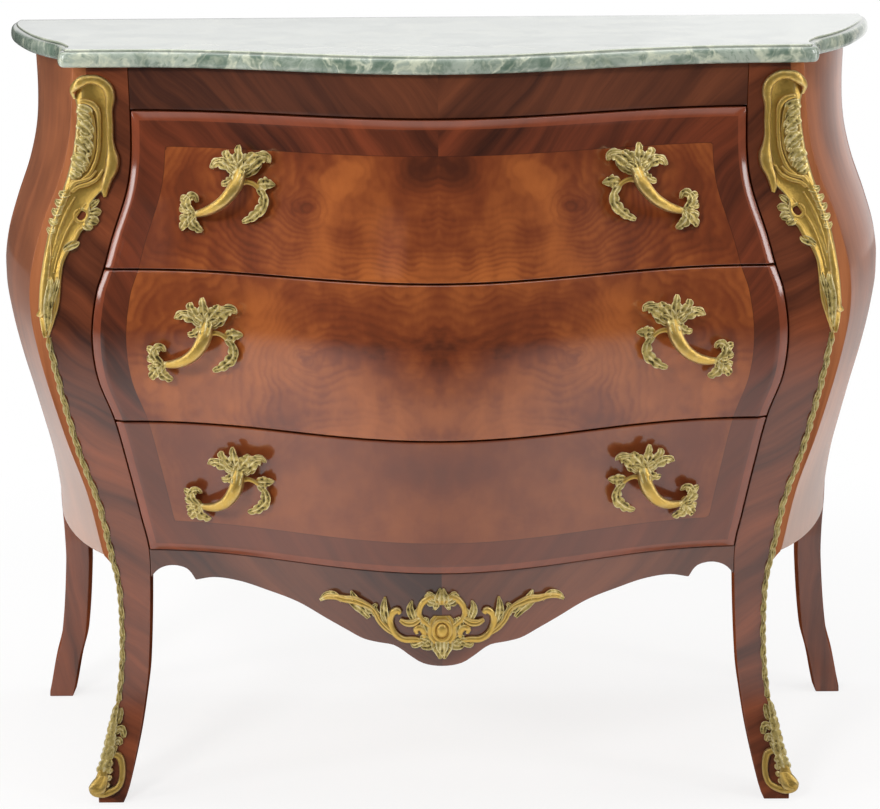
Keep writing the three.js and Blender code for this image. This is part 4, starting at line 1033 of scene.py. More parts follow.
# How the top of a strip stands above its middle line, for s from -1 to 1 across it, in half widths.
FORMS = {
    "rod": lambda s: 0.85 * math.sqrt(max(1 - s * s, 0)) - 0.5,
    "leaf": lambda s: 0.5 * s * s + 0.4 * math.exp(-(s / 0.24) ** 2) - 0.25,
    "husk": lambda s: 0.6 * math.sqrt(max(1 - s * s, 0)) - 0.35 * math.exp(-(s / 0.2) ** 2),
    "lobed": lambda s: 0.4 * s * s + 0.35 * math.exp(-(s / 0.22) ** 2) - 0.2,
    "plate": lambda s: 0.14 * s * s * s * s - 0.05 * abs(s),
}


def strip(bm, lay, form, rows, steps=8):
    """A cast strip through rows of (u, v, height, half width), laid on by lay. A lobed one is scalloped."""
    line = through([Vector(row) for row in rows], steps)
    last = len(line) - 1
    rings = []
    for i, here in enumerate(line):
        run = line[min(i + 1, last)] - line[max(i - 1, 0)]
        side = Vector((run.y, -run.x)).normalized()
        top, half, pucker = here[2], max(here[3], NARROWEST), 0
        if form == "lobed":
            lobe = abs(math.sin(i * math.pi / LOBE_STEPS))
            pucker = 0.34 * (1 - lobe)
            half *= 0.8 + 0.3 * lobe if 0 < i < last else 1
        thick = min(THICKEST, max(top - SEAT, THINNEST))
        ring = []
        for share in spread(-1, 1, 8):
            ring.append((share, top + half * (FORMS[form](share) - pucker * abs(share))))
        ring += [(0.8, top - thick), (0, top - thick * 1.1), (-0.8, top - thick)]
        u, v = here[:2]
        rings.append([
            lay((u + side.x * half * share) * MM, (v + side.y * half * share) * MM, max(w, SEAT) * MM)
            for share, w in ring
        ])
    skin(bm, rings)


def bead(bm, lay, u, v, w, radius):
    """A small rounded lump."""
    made = bmesh.ops.create_uvsphere(bm, u_segments=10, v_segments=6, radius=1)["verts"]
    for vert in made:
        x, y, z = vert.co * radius
        vert.co = lay((u + x) * MM, (v + y) * MM, max(w + z * 0.62, SEAT) * MM)


def cast(bm, lay, strokes):
    """Adds strokes to a casting, and notes which of them are leaves, where the gilding has gone dull."""
    aged = bm.verts.layers.float.get("aged") or bm.verts.layers.float.new("aged")
    for form, rows in strokes:
        before = len(bm.verts)
        if form == "bead":
            bead(bm, lay, *rows[0])
        else:
            strip(bm, lay, form, rows)
        bm.verts.ensure_lookup_table()
        for vert in bm.verts[before:]:
            vert[aged] = 1.0 if form in ("leaf", "lobed", "bead") else 0.0


def relief_for_patina_and_shade(bm):
    """Notes on each vertex how far it stands out from its neighbours: high on ridges, low in hollows."""
    # The brass material paints highlights on the ridges from this, and shade with dirt in the hollows.
    layer = bm.verts.layers.float.new("relief")
    bmesh.ops.recalc_face_normals(bm, faces=bm.faces[:])
    bm.normal_update()
    bend = {}
    for vert in bm.verts:
        runs = [(edge.other_vert(vert).co - vert.co).normalized() for edge in vert.link_edges]
        bend[vert] = -sum(run.dot(vert.normal) for run in runs) / max(len(runs), 1)
    for vert in bm.verts:
        near = [bend[edge.other_vert(vert)] for edge in vert.link_edges]
        value = (bend[vert] + sum(near) / max(len(near), 1)) / 2
        vert[layer] = min(max(0.5 + 1.3 * value, 0), 1)
    return bm


def camera_frame():
    """Where the photograph's camera stands, and what is right, up and ahead of it."""
    ahead = Vector((-math.sin(YAW) * math.cos(PITCH), math.cos(YAW) * math.cos(PITCH), -math.sin(PITCH)))
    right = Vector((math.cos(YAW), math.sin(YAW), 0))
    up = right.cross(ahead)
    rolled_right = right * math.cos(ROLL) + up * math.sin(ROLL)
    rolled_up = -right * math.sin(ROLL) + up * math.cos(ROLL)
    place = Vector((ASIDE + DISTANCE * math.sin(YAW), -DISTANCE * math.cos(YAW) + BACK, EYE_HEIGHT))
    return place, rolled_right, rolled_up, ahead


def located(lay, pixel, w, start):
    """Where a pixel of the photograph falls on a left-hand mount, w out from the wood, from a first guess."""
    eye, right, up, ahead = camera_frame()

    def missed_by(u, v):
        point = lay(u, v, w)
        ray = Vector((-point.x, point.y, point.z)) - eye
        scale = FOCAL / ray.dot(ahead)
        return (
            PICTURE_MIDDLE[0] + scale * ray.dot(right) - pixel[0],
            PICTURE_MIDDLE[1] - scale * ray.dot(up) - pixel[1],
        )

    u, v = start
    step, longest, near_enough, too_flat = 0.5 * MM, 10 * MM, 0.02, 1e-6
    for _ in range(25):
        x, y = missed_by(u, v)
        if abs(x) + abs(y) < near_enough:
            break
        x_by_u, y_by_u = [(moved - here) / step for moved, here in zip(missed_by(u + step, v), (x, y))]
        x_by_v, y_by_v = [(moved - here) / step for moved, here in zip(missed_by(u, v + step), (x, y))]
        area = x_by_u * y_by_v - x_by_v * y_by_u
        if abs(area) < too_flat:
            break
        u -= max(-longest, min(longest, (y_by_v * x - x_by_v * y) / area))
        v -= max(-longest, min(longest, (x_by_u * y - y_by_u * x) / area))
    return u, v


def measured(picks, lay, guess, around=math.inf):
    """Strokes in millimetres from points picked on the photograph's left-hand mounts.

    A pick is a pixel's column and row, the height over the wood and the half width. A point that would
    lie further than around past the keel stands out more instead.
    """
    highest, rise = 15, 0.5
    strokes = []
    for form, points in picks.values():
        place = guess(points[0])
        rows = []
        for column, row, w, half in points:
            place = located(lay, (column, row), w * MM, place)
            while place[0] < -around and w < highest:
                w += rise
                place = located(lay, (column, row), w * MM, (0, place[1]))
            rows.append((round(place[0] / MM, 1), round(place[1] / MM, 1), w, half))
        strokes.append((form, rows))
    return strokes


def keel_cast(bm, picks, a, rows, heights):
    """Casts picks on the keel. A mount's end rows in the photograph and its heights give the first guess."""
    def guess(point):
        return a * MM, lerp(*heights, (point[1] - rows[0]) / (rows[1] - rows[0])) * MM

    cast(bm, on_keel, measured(picks, on_keel, guess, AROUND_KEEL))


# Points picked on the photograph, stroke by stroke: column, row, height over the wood, half width.
HANDLE_PICKS = {
    "stem": ("rod", [
        (241, 168, 8, 4.6), (238, 175, 14, 7.6), (233, 187, 20, 8), (223, 200, 22, 6.8),
        (212, 208, 20, 5.8), (203, 212, 15, 4.8), (195, 214, 9, 3.4),
    ]),
    "bud": ("lobed", [
        (242, 163, 8, 3), (240, 169, 12, 6.4), (238, 175, 16.5, 6.2), (235, 182, 20, 3.6),
        (232, 188, 21.5, 1),
    ]),
    "leaf_a": ("lobed", [
        (238, 174, 8, 3.6), (228, 166, 10, 5.8), (218, 162, 9, 5.6), (212, 166, 5, 3),
        (212, 169, 2, 1.6),
    ]),
    "curl_a": ("leaf", [(229, 163, 10, 1.6), (221, 159.5, 10, 2.2), (214, 162, 8, 2.4), (211, 167, 4, 2)]),
    "leaf_b": ("lobed", [(237, 172, 9, 3.8), (230, 162, 11, 6), (226, 155, 10, 5), (226, 150, 8, 2.6)]),
    "leaf_c": ("lobed", [(238, 171, 9, 4), (238, 160, 11, 6.2), (238, 152, 11, 4.8), (238, 145, 8, 2)]),
    "leaf_d": ("lobed", [(240, 171, 9, 4), (246, 162, 11, 6.8), (251, 157, 10, 6), (254, 153, 8, 3)]),
    "leaf_e": ("lobed", [
        (241, 173, 8, 3.8), (251, 165, 10, 6.8), (260, 158, 10, 6.6), (267, 157, 8, 5),
        (268, 163, 3, 2.4),
    ]),
    "curl_e": ("leaf", [(253, 155, 11, 1.6), (261, 154, 11, 2.4), (268, 156, 9, 2.8), (269, 162, 5, 2.2)]),
    "leaf_f": ("lobed", [(242, 176, 5, 2.6), (250, 172, 6, 5), (257, 167, 5, 4.4), (260, 162, 3, 2)]),
    "leaf_g": ("lobed", [(236, 174, 8, 3.6), (231, 180, 7, 5), (226, 183, 6, 4), (221, 184, 3, 2)]),
    "foil_a": ("lobed", [(194, 215, 8, 3), (187, 207, 9, 5.6), (185, 200, 8, 5.6), (180, 198, 4, 2.4)]),
    "foil_b": ("lobed", [(186, 204, 8, 3), (188, 198, 8, 4.4), (194, 196, 7, 4.2), (197, 202, 3, 2)]),
    "foil_c": ("lobed", [(190, 209, 7, 2.4), (184, 209, 7, 4), (179, 209, 4, 2.2)]),
    "foil_d": ("lobed", [(195, 213, 8, 3), (187, 219, 9, 6.4), (183, 225, 7, 5.4), (180, 229, 3, 2.2)]),
    "foil_e": ("lobed", [(193, 214, 8, 3), (192, 222, 9, 5.8), (197, 228, 6, 5), (202, 231, 3, 2)]),
    "foil_f": ("lobed", [(189, 215, 7, 2.4), (184, 217, 7, 4), (179, 218, 4, 2)]),
    "branch": ("rod", [(239, 184, 9, 3.2), (246, 182, 6, 2.8), (253, 184, 4.5, 2.6), (259, 189, 4, 2.8)]),
    "sickle": ("lobed", [
        (257, 187, 3.5, 2.6), (263, 195, 5, 4.6), (263, 206, 5, 6), (256, 214, 4, 5.6),
        (249, 219, 3, 4.2), (242, 222, 1, 1.8),
    ]),
    "side": ("lobed", [
        (257, 185, 3.5, 2.6), (263, 184, 5.5, 6.8), (268, 184, 5, 5.8), (275, 185, 1.5, 1.2),
    ]),
    "knot_1": ("lobed", [(237, 170, 10, 2.6), (233, 166, 12, 4), (229, 164, 10, 2)]),
    "knot_2": ("lobed", [(241, 172, 10, 2.6), (246, 168, 12, 4.2), (251, 167, 10, 2)]),
    "knot_3": ("lobed", [(190, 213, 9, 2.6), (187, 213, 10.5, 4), (183, 213, 7, 2)]),
}

CHUTE_PICKS = {
    "rim": ("rod", [
        (74, 99, 7.5, 2.3), (71, 91, 10.5, 4.1), (76, 84, 11.5, 4.8), (86, 80, 10.5, 5.1),
        (98, 81, 9.5, 5.3), (107, 88, 8.5, 5.5), (110, 98, 7.5, 5.3), (109, 110, 7.5, 3.9),
        (110, 125, 7.5, 3.4), (110, 140, 7.5, 3.7), (111, 150, 8, 4.8), (112, 160, 9, 7.4),
        (111, 170, 9, 7.6), (107, 180, 8, 6), (105, 189, 6.5, 4.6), (105, 197, 4, 1.8),
    ]),
    "lip": ("rod", [
        (80, 101, 6.8, 2.6), (87, 102, 7.3, 3.1), (94, 106, 7.3, 3.4), (98, 113, 6.8, 2.9),
        (99, 125, 6.3, 2.3), (99, 140, 6.3, 2.3), (98, 152, 6.3, 2.3), (95, 163, 6.3, 2.3),
        (90, 173, 6.3, 2.3), (82, 180, 6.3, 2.1),
    ]),
    "ridge": ("rod", [
        (90, 110, 5.8, 1.8), (93, 120, 5.8, 2), (95, 135, 5.3, 1.8), (94, 150, 5.3, 1.8),
        (91, 161, 5.3, 1.7), (86, 171, 5.3, 1.6),
    ]),
    "fold_a": ("rod", [
        (103, 170, 5.5, 1.9), (97, 179, 6, 2.6), (88, 184, 6.5, 2.9), (78, 187, 6.5, 2.6),
        (72, 192, 5.5, 1.7),
    ]),
    "fold_b": ("rod", [
        (96, 171, 6, 1.4), (90, 178, 6.5, 2.2), (82, 181, 7, 2.4), (75, 183, 7, 2.2), (70, 190, 6, 1.7),
    ]),
    "left_rim": ("rod", [
        (74, 180, 5.8, 2), (66, 193, 5.8, 3), (59, 208, 5.8, 3.2), (53, 223, 5.3, 3),
        (49, 238, 5.3, 2.8), (47, 255, 5.3, 3), (45, 272, 5.3, 3.2), (44, 290, 5.3, 3),
        (42, 305, 5.3, 2.8), (40, 313, 5.8, 4.8), (37, 315, 4.3, 2),
    ]),
    "right_rim": ("rod", [
        (88, 226, 4.8, 1.8), (80, 230, 5.3, 2.8), (74, 241, 5.3, 2.8), (66, 252, 4.8, 2.8),
        (61, 265, 4.8, 2.3), (59, 280, 4.8, 2.3), (58, 295, 4.8, 2.3), (56, 308, 4.8, 2.3),
        (52, 322, 4.3, 1.8), (48, 336, 2.3, 0.9),
    ]),
    "vein_a": ("rod", [
        (86, 203, 4, 1.4), (76, 216, 4, 1.8), (67, 231, 4, 1.8), (61, 246, 3.5, 1.7),
        (57, 260, 3.5, 1.6), (54, 273, 3.5, 1.2),
    ]),
    "vein_b": ("rod", [
        (75, 197, 4, 1.2), (68, 210, 4, 1.6), (61, 226, 4, 1.6), (56, 242, 3.5, 1.4),
        (52, 258, 3.5, 1.2),
    ]),
    "lobe_a": ("leaf", [(90, 207, 4.8, 3), (95, 203, 6.3, 4), (99, 200, 3.8, 1.5)]),
    "lobe_b": ("leaf", [(88, 214, 4.8, 3.2), (95, 213, 6.8, 5.8), (101, 213, 3.8, 2)]),
    "lobe_c": ("leaf", [(87, 220, 4.8, 3.2), (93, 221, 6.8, 5.5), (98, 223, 3.8, 2)]),
    "lobe_d": ("leaf", [(84, 223, 4.8, 3), (88, 226, 6.3, 4.5), (92, 229, 3.8, 1.5)]),
    "twig": ("leaf", [(63, 250, 4.8, 2.2), (70, 246, 6.3, 4.8), (76, 244, 5.3, 3.8), (79, 242, 2.8, 1.2)]),
    "bud_a": ("leaf", [
        (58, 276, 4, 1.17), (57, 284, 6.5, 2.81), (54, 294, 6.5, 3.28), (52, 304, 5, 2.03),
        (51, 312, 3, 0.78),
    ]),
    "bud_b": ("leaf", [
        (50, 277, 4, 1.09), (51, 287, 6.5, 2.65), (49, 300, 6.5, 3.12), (48, 314, 6, 2.81),
        (48, 328, 4, 1.72), (48, 338, 1.5, 0.62),
    ]),
    "hole": ("rod", [
        (81, 208.5, 4.5, 1.7), (75.6, 211.5, 4.5, 1.7), (74.8, 217, 4.5, 1.7), (78, 221.5, 4.5, 1.7),
        (84, 221.5, 4.5, 1.7), (87.4, 217, 4.5, 1.7), (86.8, 211.5, 4.5, 1.7), (81, 208.5, 4.5, 1.7),
    ]),
    "spray_0": ("lobed", [(90, 116, 5, 2.6), (84, 110, 8, 5.6), (77, 106, 6.5, 2.2)]),
    "spray_1": ("lobed", [(90, 126, 5, 2.4), (86, 119, 8, 4.4), (79, 113, 6, 2)]),
    "spray_2": ("lobed", [(92, 135, 5, 2.8), (87, 127, 8.5, 5.8), (79, 121, 6.5, 2.4)]),
    "spray_3": ("lobed", [(91, 141, 5, 2.2), (88, 135, 7.5, 4.2), (81, 130, 6, 1.8)]),
    "spray_4": ("lobed", [(92, 151, 5, 2.8), (86, 143, 8.5, 6), (78, 137, 6.5, 2.4)]),
    "spray_5": ("lobed", [(90, 157, 5, 2.4), (86, 151, 7.5, 4.4), (79, 146, 6, 2)]),
    "spray_6": ("lobed", [(88, 167, 5, 2.6), (81, 159, 8.5, 5.6), (74, 153, 6.5, 2.2)]),
    "spray_7": ("lobed", [(84, 173, 5, 2.2), (79, 167, 7.5, 4.2), (73, 162, 6, 1.8)]),
    "spray_x": ("lobed", [(80, 178, 5, 2.4), (75, 175, 7, 4), (71, 171, 5, 1.8)]),
    "bead_1": ("bead", [(90, 128, 6, 3)]),
    "bead_2": ("bead", [(90, 137, 6, 3)]),
    "bead_3": ("bead", [(89, 146, 6, 3.2)]),
    "bead_4": ("bead", [(88, 155, 6, 3)]),
    "bead_5": ("bead", [(85, 164, 6, 3)]),
    "feather_1": ("leaf", [(70, 193, 5, 2.6), (64, 194, 7, 3.9), (59, 192, 4, 1.3)]),
    "feather_2": ("leaf", [(66, 203, 5, 2.6), (60, 203, 7, 3.9), (55, 200, 4, 1.3)]),
    "feather_3": ("leaf", [(62, 212, 5, 2.6), (56, 212, 7, 3.9), (52, 209, 4, 1.3)]),
    "feather_4": ("leaf", [(58, 222, 5, 2.3), (53, 222, 6.5, 3.6), (49, 219, 4, 1.3)]),
    "feather_5": ("leaf", [(55, 231, 4.5, 2.1), (50, 231, 6, 3.1), (47, 228, 4, 1.3)]),
}

SABOT_PICKS = {
    "spine": ("rod", [
        (118, 700, 2, 1.6), (115, 709, 3, 2.4), (112, 719, 3.5, 2.8), (110, 729, 4, 3.2),
        (108, 740, 4.5, 3.4), (106, 752, 5, 3.6), (104, 763, 6, 3.8), (102, 774, 7.5, 4.2),
        (99, 784, 9, 5), (96, 790, 9.5, 4.6), (93, 793, 9, 3),
    ]),
    "loop": ("rod", [
        (107, 757, 5, 2.2), (113, 755, 5, 3.4), (119, 757, 5, 3.8), (122, 766, 5, 3.6),
        (122, 777, 5, 3.6), (119, 786, 5.5, 3.8), (113, 791, 7, 4.2), (105, 794, 9, 4.6),
        (98, 794, 11, 4.8), (93, 792, 11.5, 3.2),
    ]),
    "toe": ("husk", [(104, 776, 8, 3.6), (100, 784, 11, 5.4), (96, 790, 12, 5.6), (92, 794, 10, 3)]),
    "leaf_a": ("lobed", [(117, 724, 3.5, 2.4), (120, 716, 4, 3.2), (121, 708, 2, 1.4)]),
    "leaf_b": ("lobed", [(114, 734, 4.5, 2.6), (119, 729, 6, 4.4), (123, 731, 5, 4), (124, 738, 2.5, 2)]),
    "leaf_c": ("lobed", [(112, 745, 4.5, 2.6), (118, 740, 6, 4.2), (121, 745, 3, 2)]),
    "leaf_d": ("lobed", [(110, 757, 6, 2.6), (113, 750, 7, 3.8), (117, 746, 4, 1.8)]),
    "spray_a": ("lobed", [(112, 722, 5, 2.6), (113, 714, 6, 3.6), (116, 705, 4, 1.6)]),
    "spray_b": ("lobed", [(110, 735, 5.5, 3), (111, 727, 7, 4.4), (114, 719, 5, 2)]),
    "spray_c": ("lobed", [(108, 748, 6, 3.2), (109, 740, 7.5, 4.8), (112, 732, 5.5, 2.2)]),
    "spray_d": ("lobed", [(106, 761, 6.5, 3.4), (107, 753, 8, 5), (110, 745, 6, 2.2)]),
    "spray_e": ("lobed", [(103, 774, 7.5, 3.6), (105, 766, 9, 5), (108, 758, 6.5, 2.4)]),
    "bead_1": ("bead", [(110, 764, 6, 3.6)]),
    "bead_2": ("bead", [(110, 771, 6.5, 3.6)]),
    "bead_3": ("bead", [(109, 778, 7, 3.6)]),
    "bead_4": ("bead", [(107, 785, 8, 3.4)]),
}

APRON_PICKS = {
    "frame": ("rod", [
        (437, 597, 3.1, 2.9), (430, 598, 3.6, 3.77), (424, 602, 3.6, 3.77), (420, 608, 3.6, 3.48),
        (419, 615, 3.6, 3.48), (423, 621, 3.6, 3.48), (430, 627, 3.6, 3.19), (430, 635, 3.6, 3.48),
        (434, 641, 3.6, 3.48), (440, 642, 3.6, 2.9),
    ]),
    "crown": ("leaf", [
        (440, 605, 2.9, 3.4), (440, 599, 4.8, 6.2), (440, 594, 4, 4.2), (440, 588.5, 1.8, 0.8),
    ]),
    "crown_up": ("lobed", [(436, 602, 3, 3), (431, 596, 4, 4.4), (427, 593, 2, 1.4)]),
    "crown_side": ("leaf", [
        (438, 603, 2.9, 2.7), (433, 600, 4.4, 4.59), (428, 596, 3.4, 3.51), (425, 600, 1.9, 1.35),
    ]),
    "drop": ("leaf", [(437, 601, 2.9, 2.43), (436, 606, 3.9, 2.97), (434, 610, 1.9, 1.35)]),
    "shield": ("leaf", [
        (440, 641, 3.1, 9.75), (440, 648, 4.1, 9), (440, 653, 3.6, 5.4), (440, 659, 1.6, 1.2),
    ]),
    "shield_side": ("leaf", [
        (436, 642, 3, 3.6), (430, 645, 4, 5.4), (424, 646, 3, 3.9), (421, 643, 2, 1.5),
    ]),
    "curl": ("rod", [
        (424, 640, 3.1, 2.32), (424, 633, 3.6, 3.48), (420, 628, 4.1, 4.06), (416, 630, 4.1, 3.48),
        (417, 634, 3.1, 2.03),
    ]),
    "foot": ("leaf", [
        (424, 640, 2.9, 2.97), (419, 643, 3.9, 4.05), (414, 645, 2.9, 3.24), (411, 642, 1.9, 1.22),
    ]),
    "scroll": ("rod", [
        (423, 641, 3.1, 2.61), (414, 640, 3.6, 3.77), (405, 640, 3.6, 4.06), (397, 636, 3.6, 4.06),
        (392, 629, 3.6, 4.06), (390, 621, 3.6, 4.06), (392, 614, 4.1, 4.06), (397, 611, 4.1, 4.35),
        (400, 614, 3.6, 2.9),
    ]),
    "tongue": ("husk", [
        (400, 620, 2.9, 2.43), (406, 623, 3.9, 4.05), (413, 623, 3.9, 4.32), (420, 619, 3.4, 3.24),
    ]),
    "thorn": ("leaf", [
        (414, 620, 3.4, 2.97), (411, 613, 4.4, 4.59), (410, 607, 3.9, 3.51), (412, 601, 1.9, 1.08),
    ]),
    "thorn_b": ("leaf", [(416, 617, 2.9, 2.43), (417, 612, 3.9, 2.97), (420, 607, 1.9, 1.08)]),
    "spear": ("leaf", [
        (389, 626, 2.9, 2.43), (385, 617, 3.9, 4.59), (384, 607, 3.9, 4.05), (385, 597, 1.4, 1.08),
    ]),
    "stem": ("husk", [
        (394, 634, 2.9, 2.43), (386, 628, 3.4, 3.51), (379, 620, 3.4, 3.51), (375, 612, 3.4, 2.97),
        (370, 607, 3.4, 3.24), (362, 603, 3.4, 4.59), (354, 600, 3.4, 5.13), (345, 599, 3.4, 4.59),
        (336, 597, 3.4, 3.51), (327, 597, 2.9, 2.97), (320, 600, 1.9, 1.62),
    ]),
    "top_leaf": ("leaf", [(358, 601, 2.9, 2.7), (354, 597, 4.4, 4.05), (351, 591, 1.9, 1.08)]),
    "under_leaf": ("leaf", [
        (350, 601, 2.9, 2.97), (357, 606, 3.9, 4.86), (363, 611, 3.9, 4.32), (369, 618, 2.4, 2.43),
    ]),
    "tip_leaf": ("leaf", [
        (342, 601, 2.9, 2.16), (334, 594, 3.9, 3.51), (326, 594, 2.9, 2.43), (321, 598, 1.9, 1.35),
    ]),
    "barb": ("leaf", [(378, 614, 2.9, 2.43), (374, 608, 3.9, 3.51), (377, 604, 1.9, 1.35)]),
    "body": ("plate", [
        (440, 616, 1.6, 7), (440, 621, 2.4, 11.5), (440, 629, 3, 13.5), (440, 637, 3, 12.5),
        (440, 645, 2.6, 8.5), (440, 651, 2.2, 5), (440, 656, 1.4, 1.2),
    ]),
    "crown_mid": ("lobed", [(440, 604, 3, 4), (433, 603, 4.5, 5), (427, 601, 3.5, 3.4)]),
    "flank": ("lobed", [(428, 634, 3, 3), (424, 626, 4, 4.4), (427, 618, 3.5, 3)]),
    "flank_b": ("lobed", [(433, 646, 3, 3), (427, 640, 4.5, 4.6), (420, 638, 3.5, 3)]),
    "sprig": ("lobed", [(374, 612, 3, 2.6), (366, 608, 4, 4.6), (358, 602, 4, 4.2), (350, 599, 3, 2.6)]),
    "sprig_b": ("lobed", [(384, 624, 3, 2.6), (378, 616, 4, 4.6), (372, 609, 3, 2.6)]),
}

# The end rows of the keel mounts in the photograph, their heights on the chest, and the apron mount's height.
CHUTE_ROWS, CHUTE_HEIGHTS = (79, 337), (816, 542.5)
SABOT_ROWS, SABOT_HEIGHTS = (700, 796), (112, 8)
APRON_HEIGHT = 234

# Rings of a handle's post, as (height, radius), the first three over the wood and the last over the base.
POST_FOOT = ((0.6, 5), (1.2, 5.6), (2.2, 4.6))
POST_TOP = (4, 4.2)


def handle(index, turn):
    """A cast handle: a fan of leaves, an arched stem with a leafy foot, and a sickle branch."""
    lay, base = on_drawer(index, turn)
    bm = bmesh.new()
    cast(bm, lay, measured(HANDLE_PICKS, on_drawer(0)[0], lambda point: (0, 0)))
    levels = [(w * MM - base, radius) for w, radius in POST_FOOT] + [(POST_TOP[0] * MM, POST_TOP[1])]
    angles = spread(0, 2 * math.pi, 16)[:-1]
    for u, v in HANDLE_POSTS:
        skin(bm, [
            [lay((u + radius * math.cos(t)) * MM, (v + radius * math.sin(t)) * MM, w) for t in angles]
            for w, radius in levels
        ])
    return relief_for_patina_and_shade(bm)


# The chute's two edges, as rows of (height, outer edge, inner edge) with the edges measured in from the keel.
CHUTE_EDGES = [
    (541, -1, 1), (549, -3, 4), (558, -5, 6.5), (567, -7, 9), (578, -5, 12), (590, -4, 13.5), (604, -4, 13.5),
    (618, -4, 13.5), (631, -4.5, 17), (641, -5, 22), (650, -5.5, 26), (657, -6, 31), (664, -6, 33),
    (672, -6, 32), (680, -6, 28), (688, -5, 31), (697, -4, 37), (706, -3, 38), (716, -3, 40), (727, -2, 39),
    (737, -2, 36), (748, -2, 33), (763, -2, 31), (778, -3, 28.5), (790, -6, 28), (800, -7, 25), (806, -5, 21),
    (810, 0, 15), (812, 4, 10),
]

# The round hole through the chute, how many faces it opens on each side of its middle corner, and how many
# times as far the faces round it are drawn in. Then the heights where the ridge ends and the dish begins.
HOLE_IN, HOLE_HEIGHT, HOLE_RADIUS = 21.4, 669.0, 5.2
HOLE_REACH, HOLE_PULL = 2, 3
RIDGE_END, DISH_START = (640, 680), (782, 792)


def pierced(bm, sheets, columns, row, column):
    """Opens a hole through two facing sheets round a middle corner."""
    reach = range(-HOLE_REACH, HOLE_REACH + 1)
    near = {}
    for made in sheets:
        for i in reach:
            for j in reach:
                near[made[(row + i) * (columns + 1) + column + j]] = max(abs(i), abs(j))
    rim = {vert for vert, ring in near.items() if ring == HOLE_REACH}
    inside = [face for face in bm.faces if all(vert in near for vert in face.verts)]
    bmesh.ops.delete(bm, geom=inside, context="FACES")
    edges = [edge for edge in bm.edges if edge.is_boundary and all(vert in rim for vert in edge.verts)]
    bmesh.ops.bridge_loops(bm, edges=edges)


def chute():
    """The long corner mount: a dished scroll at the top, a channelled body and a bud at the foot."""
    outer = smooth_curve([(z, edge) for z, edge, _ in CHUTE_EDGES])
    inner = smooth_curve([(z, edge) for z, _, edge in CHUTE_EDGES])
    low, high = CHUTE_EDGES[0][0], CHUTE_EDGES[-1][0]
    rows, columns = 136, 18

    def flat(row, column):
        z = low + (high - low) * row / rows
        return outer(z) + (inner(z) - outer(z)) * column / columns, z

    hole_row = round((HOLE_HEIGHT - low) / (high - low) * rows)
    hole_column = min(range(columns + 1), key=lambda column: abs(flat(hole_row, column)[0] - HOLE_IN))
    middle = flat(hole_row, hole_column)

    def corner(row, column, top):
        a, z = flat(row, column)
        i, j = row - hole_row, column - hole_column
        ring = max(abs(i), abs(j)) / HOLE_REACH
        if 1 <= ring < HOLE_PULL:
            turned, share = math.atan2(i, j), smooth_step(ring, 1, HOLE_PULL)
            a = lerp(middle[0] + HOLE_RADIUS * math.cos(turned), a, share)
            z = lerp(middle[1] + HOLE_RADIUS * math.sin(turned), z, share)
        share = column / columns
        hollow = (2 * share - 1) ** 2
        dish = smooth_step(z, *DISH_START)
        ridge = math.exp(-((share - 0.5) / 0.12) ** 2) * (1 - smooth_step(z, *RIDGE_END))
        channel = 2.2 + 4.0 * hollow + 1.6 * ridge
        w = channel + dish * (2.4 * hollow - 0.6)
        return on_keel(a * MM, z * MM, (w if top else SEAT) * MM)

    bm = bmesh.new()
    sheets = [
        sheet(bm, rows, columns, lambda row, column, top=top: corner(row, column, top))
        for top in (True, False)
    ]
    pierced(bm, sheets, columns, hole_row, hole_column)
    bmesh.ops.bridge_loops(bm, edges=[edge for edge in bm.edges if edge.is_boundary])
    keel_cast(bm, CHUTE_PICKS, 10, CHUTE_ROWS, CHUTE_HEIGHTS)
    return relief_for_patina_and_shade(bm)


def keel_band():
    """A thin strip of husks, one over the next, down the keel."""
    low, high, count = 113.0, 541.0, 34
    step = (high - low) / count
    strokes = [("lobed", [(0.6, z, 1.2, 2.6) for z in spread(high, low, 14)])]
    for i in range(count):
        z, lean = high - step * i, 1.4 if i % 2 else -1.2
        strokes.append(("leaf", [
            (0.2, z, 1.6, 1.2), (0.8 + lean * 0.4, z - step * 0.5, 3.0, 2.7),
            (0.8 + lean, z - step * 0.95, 3.2, 2.4), (0.6 + lean * 1.6, max(z - step * 1.5, low), 1.6, 1.0),
        ]))
    bm = bmesh.new()
    cast(bm, on_keel, strokes)
    return relief_for_patina_and_shade(bm)


def sabot():
    """The foot mount: a leafy column over an open loop and a toe."""
    bm = bmesh.new()
    keel_cast(bm, SABOT_PICKS, 5, SABOT_ROWS, SABOT_HEIGHTS)
    return relief_for_patina_and_shade(bm)


# The oval boss in the middle of the apron mount: its height on the chest, then its half width, half height,
# base over the wood and rise. The rim round it: its reach to the side and up, its rise and its half width.
BOSS_HEIGHT = 226.0
BOSS_WIDE, BOSS_TALL, BOSS_BASE, BOSS_RISE = 6.2, 8.2, 3.2, 4.6
RIM_WIDE, RIM_TALL, RIM_RISE, RIM_HALF = 9.2, 11.4, 4.6, 2.3


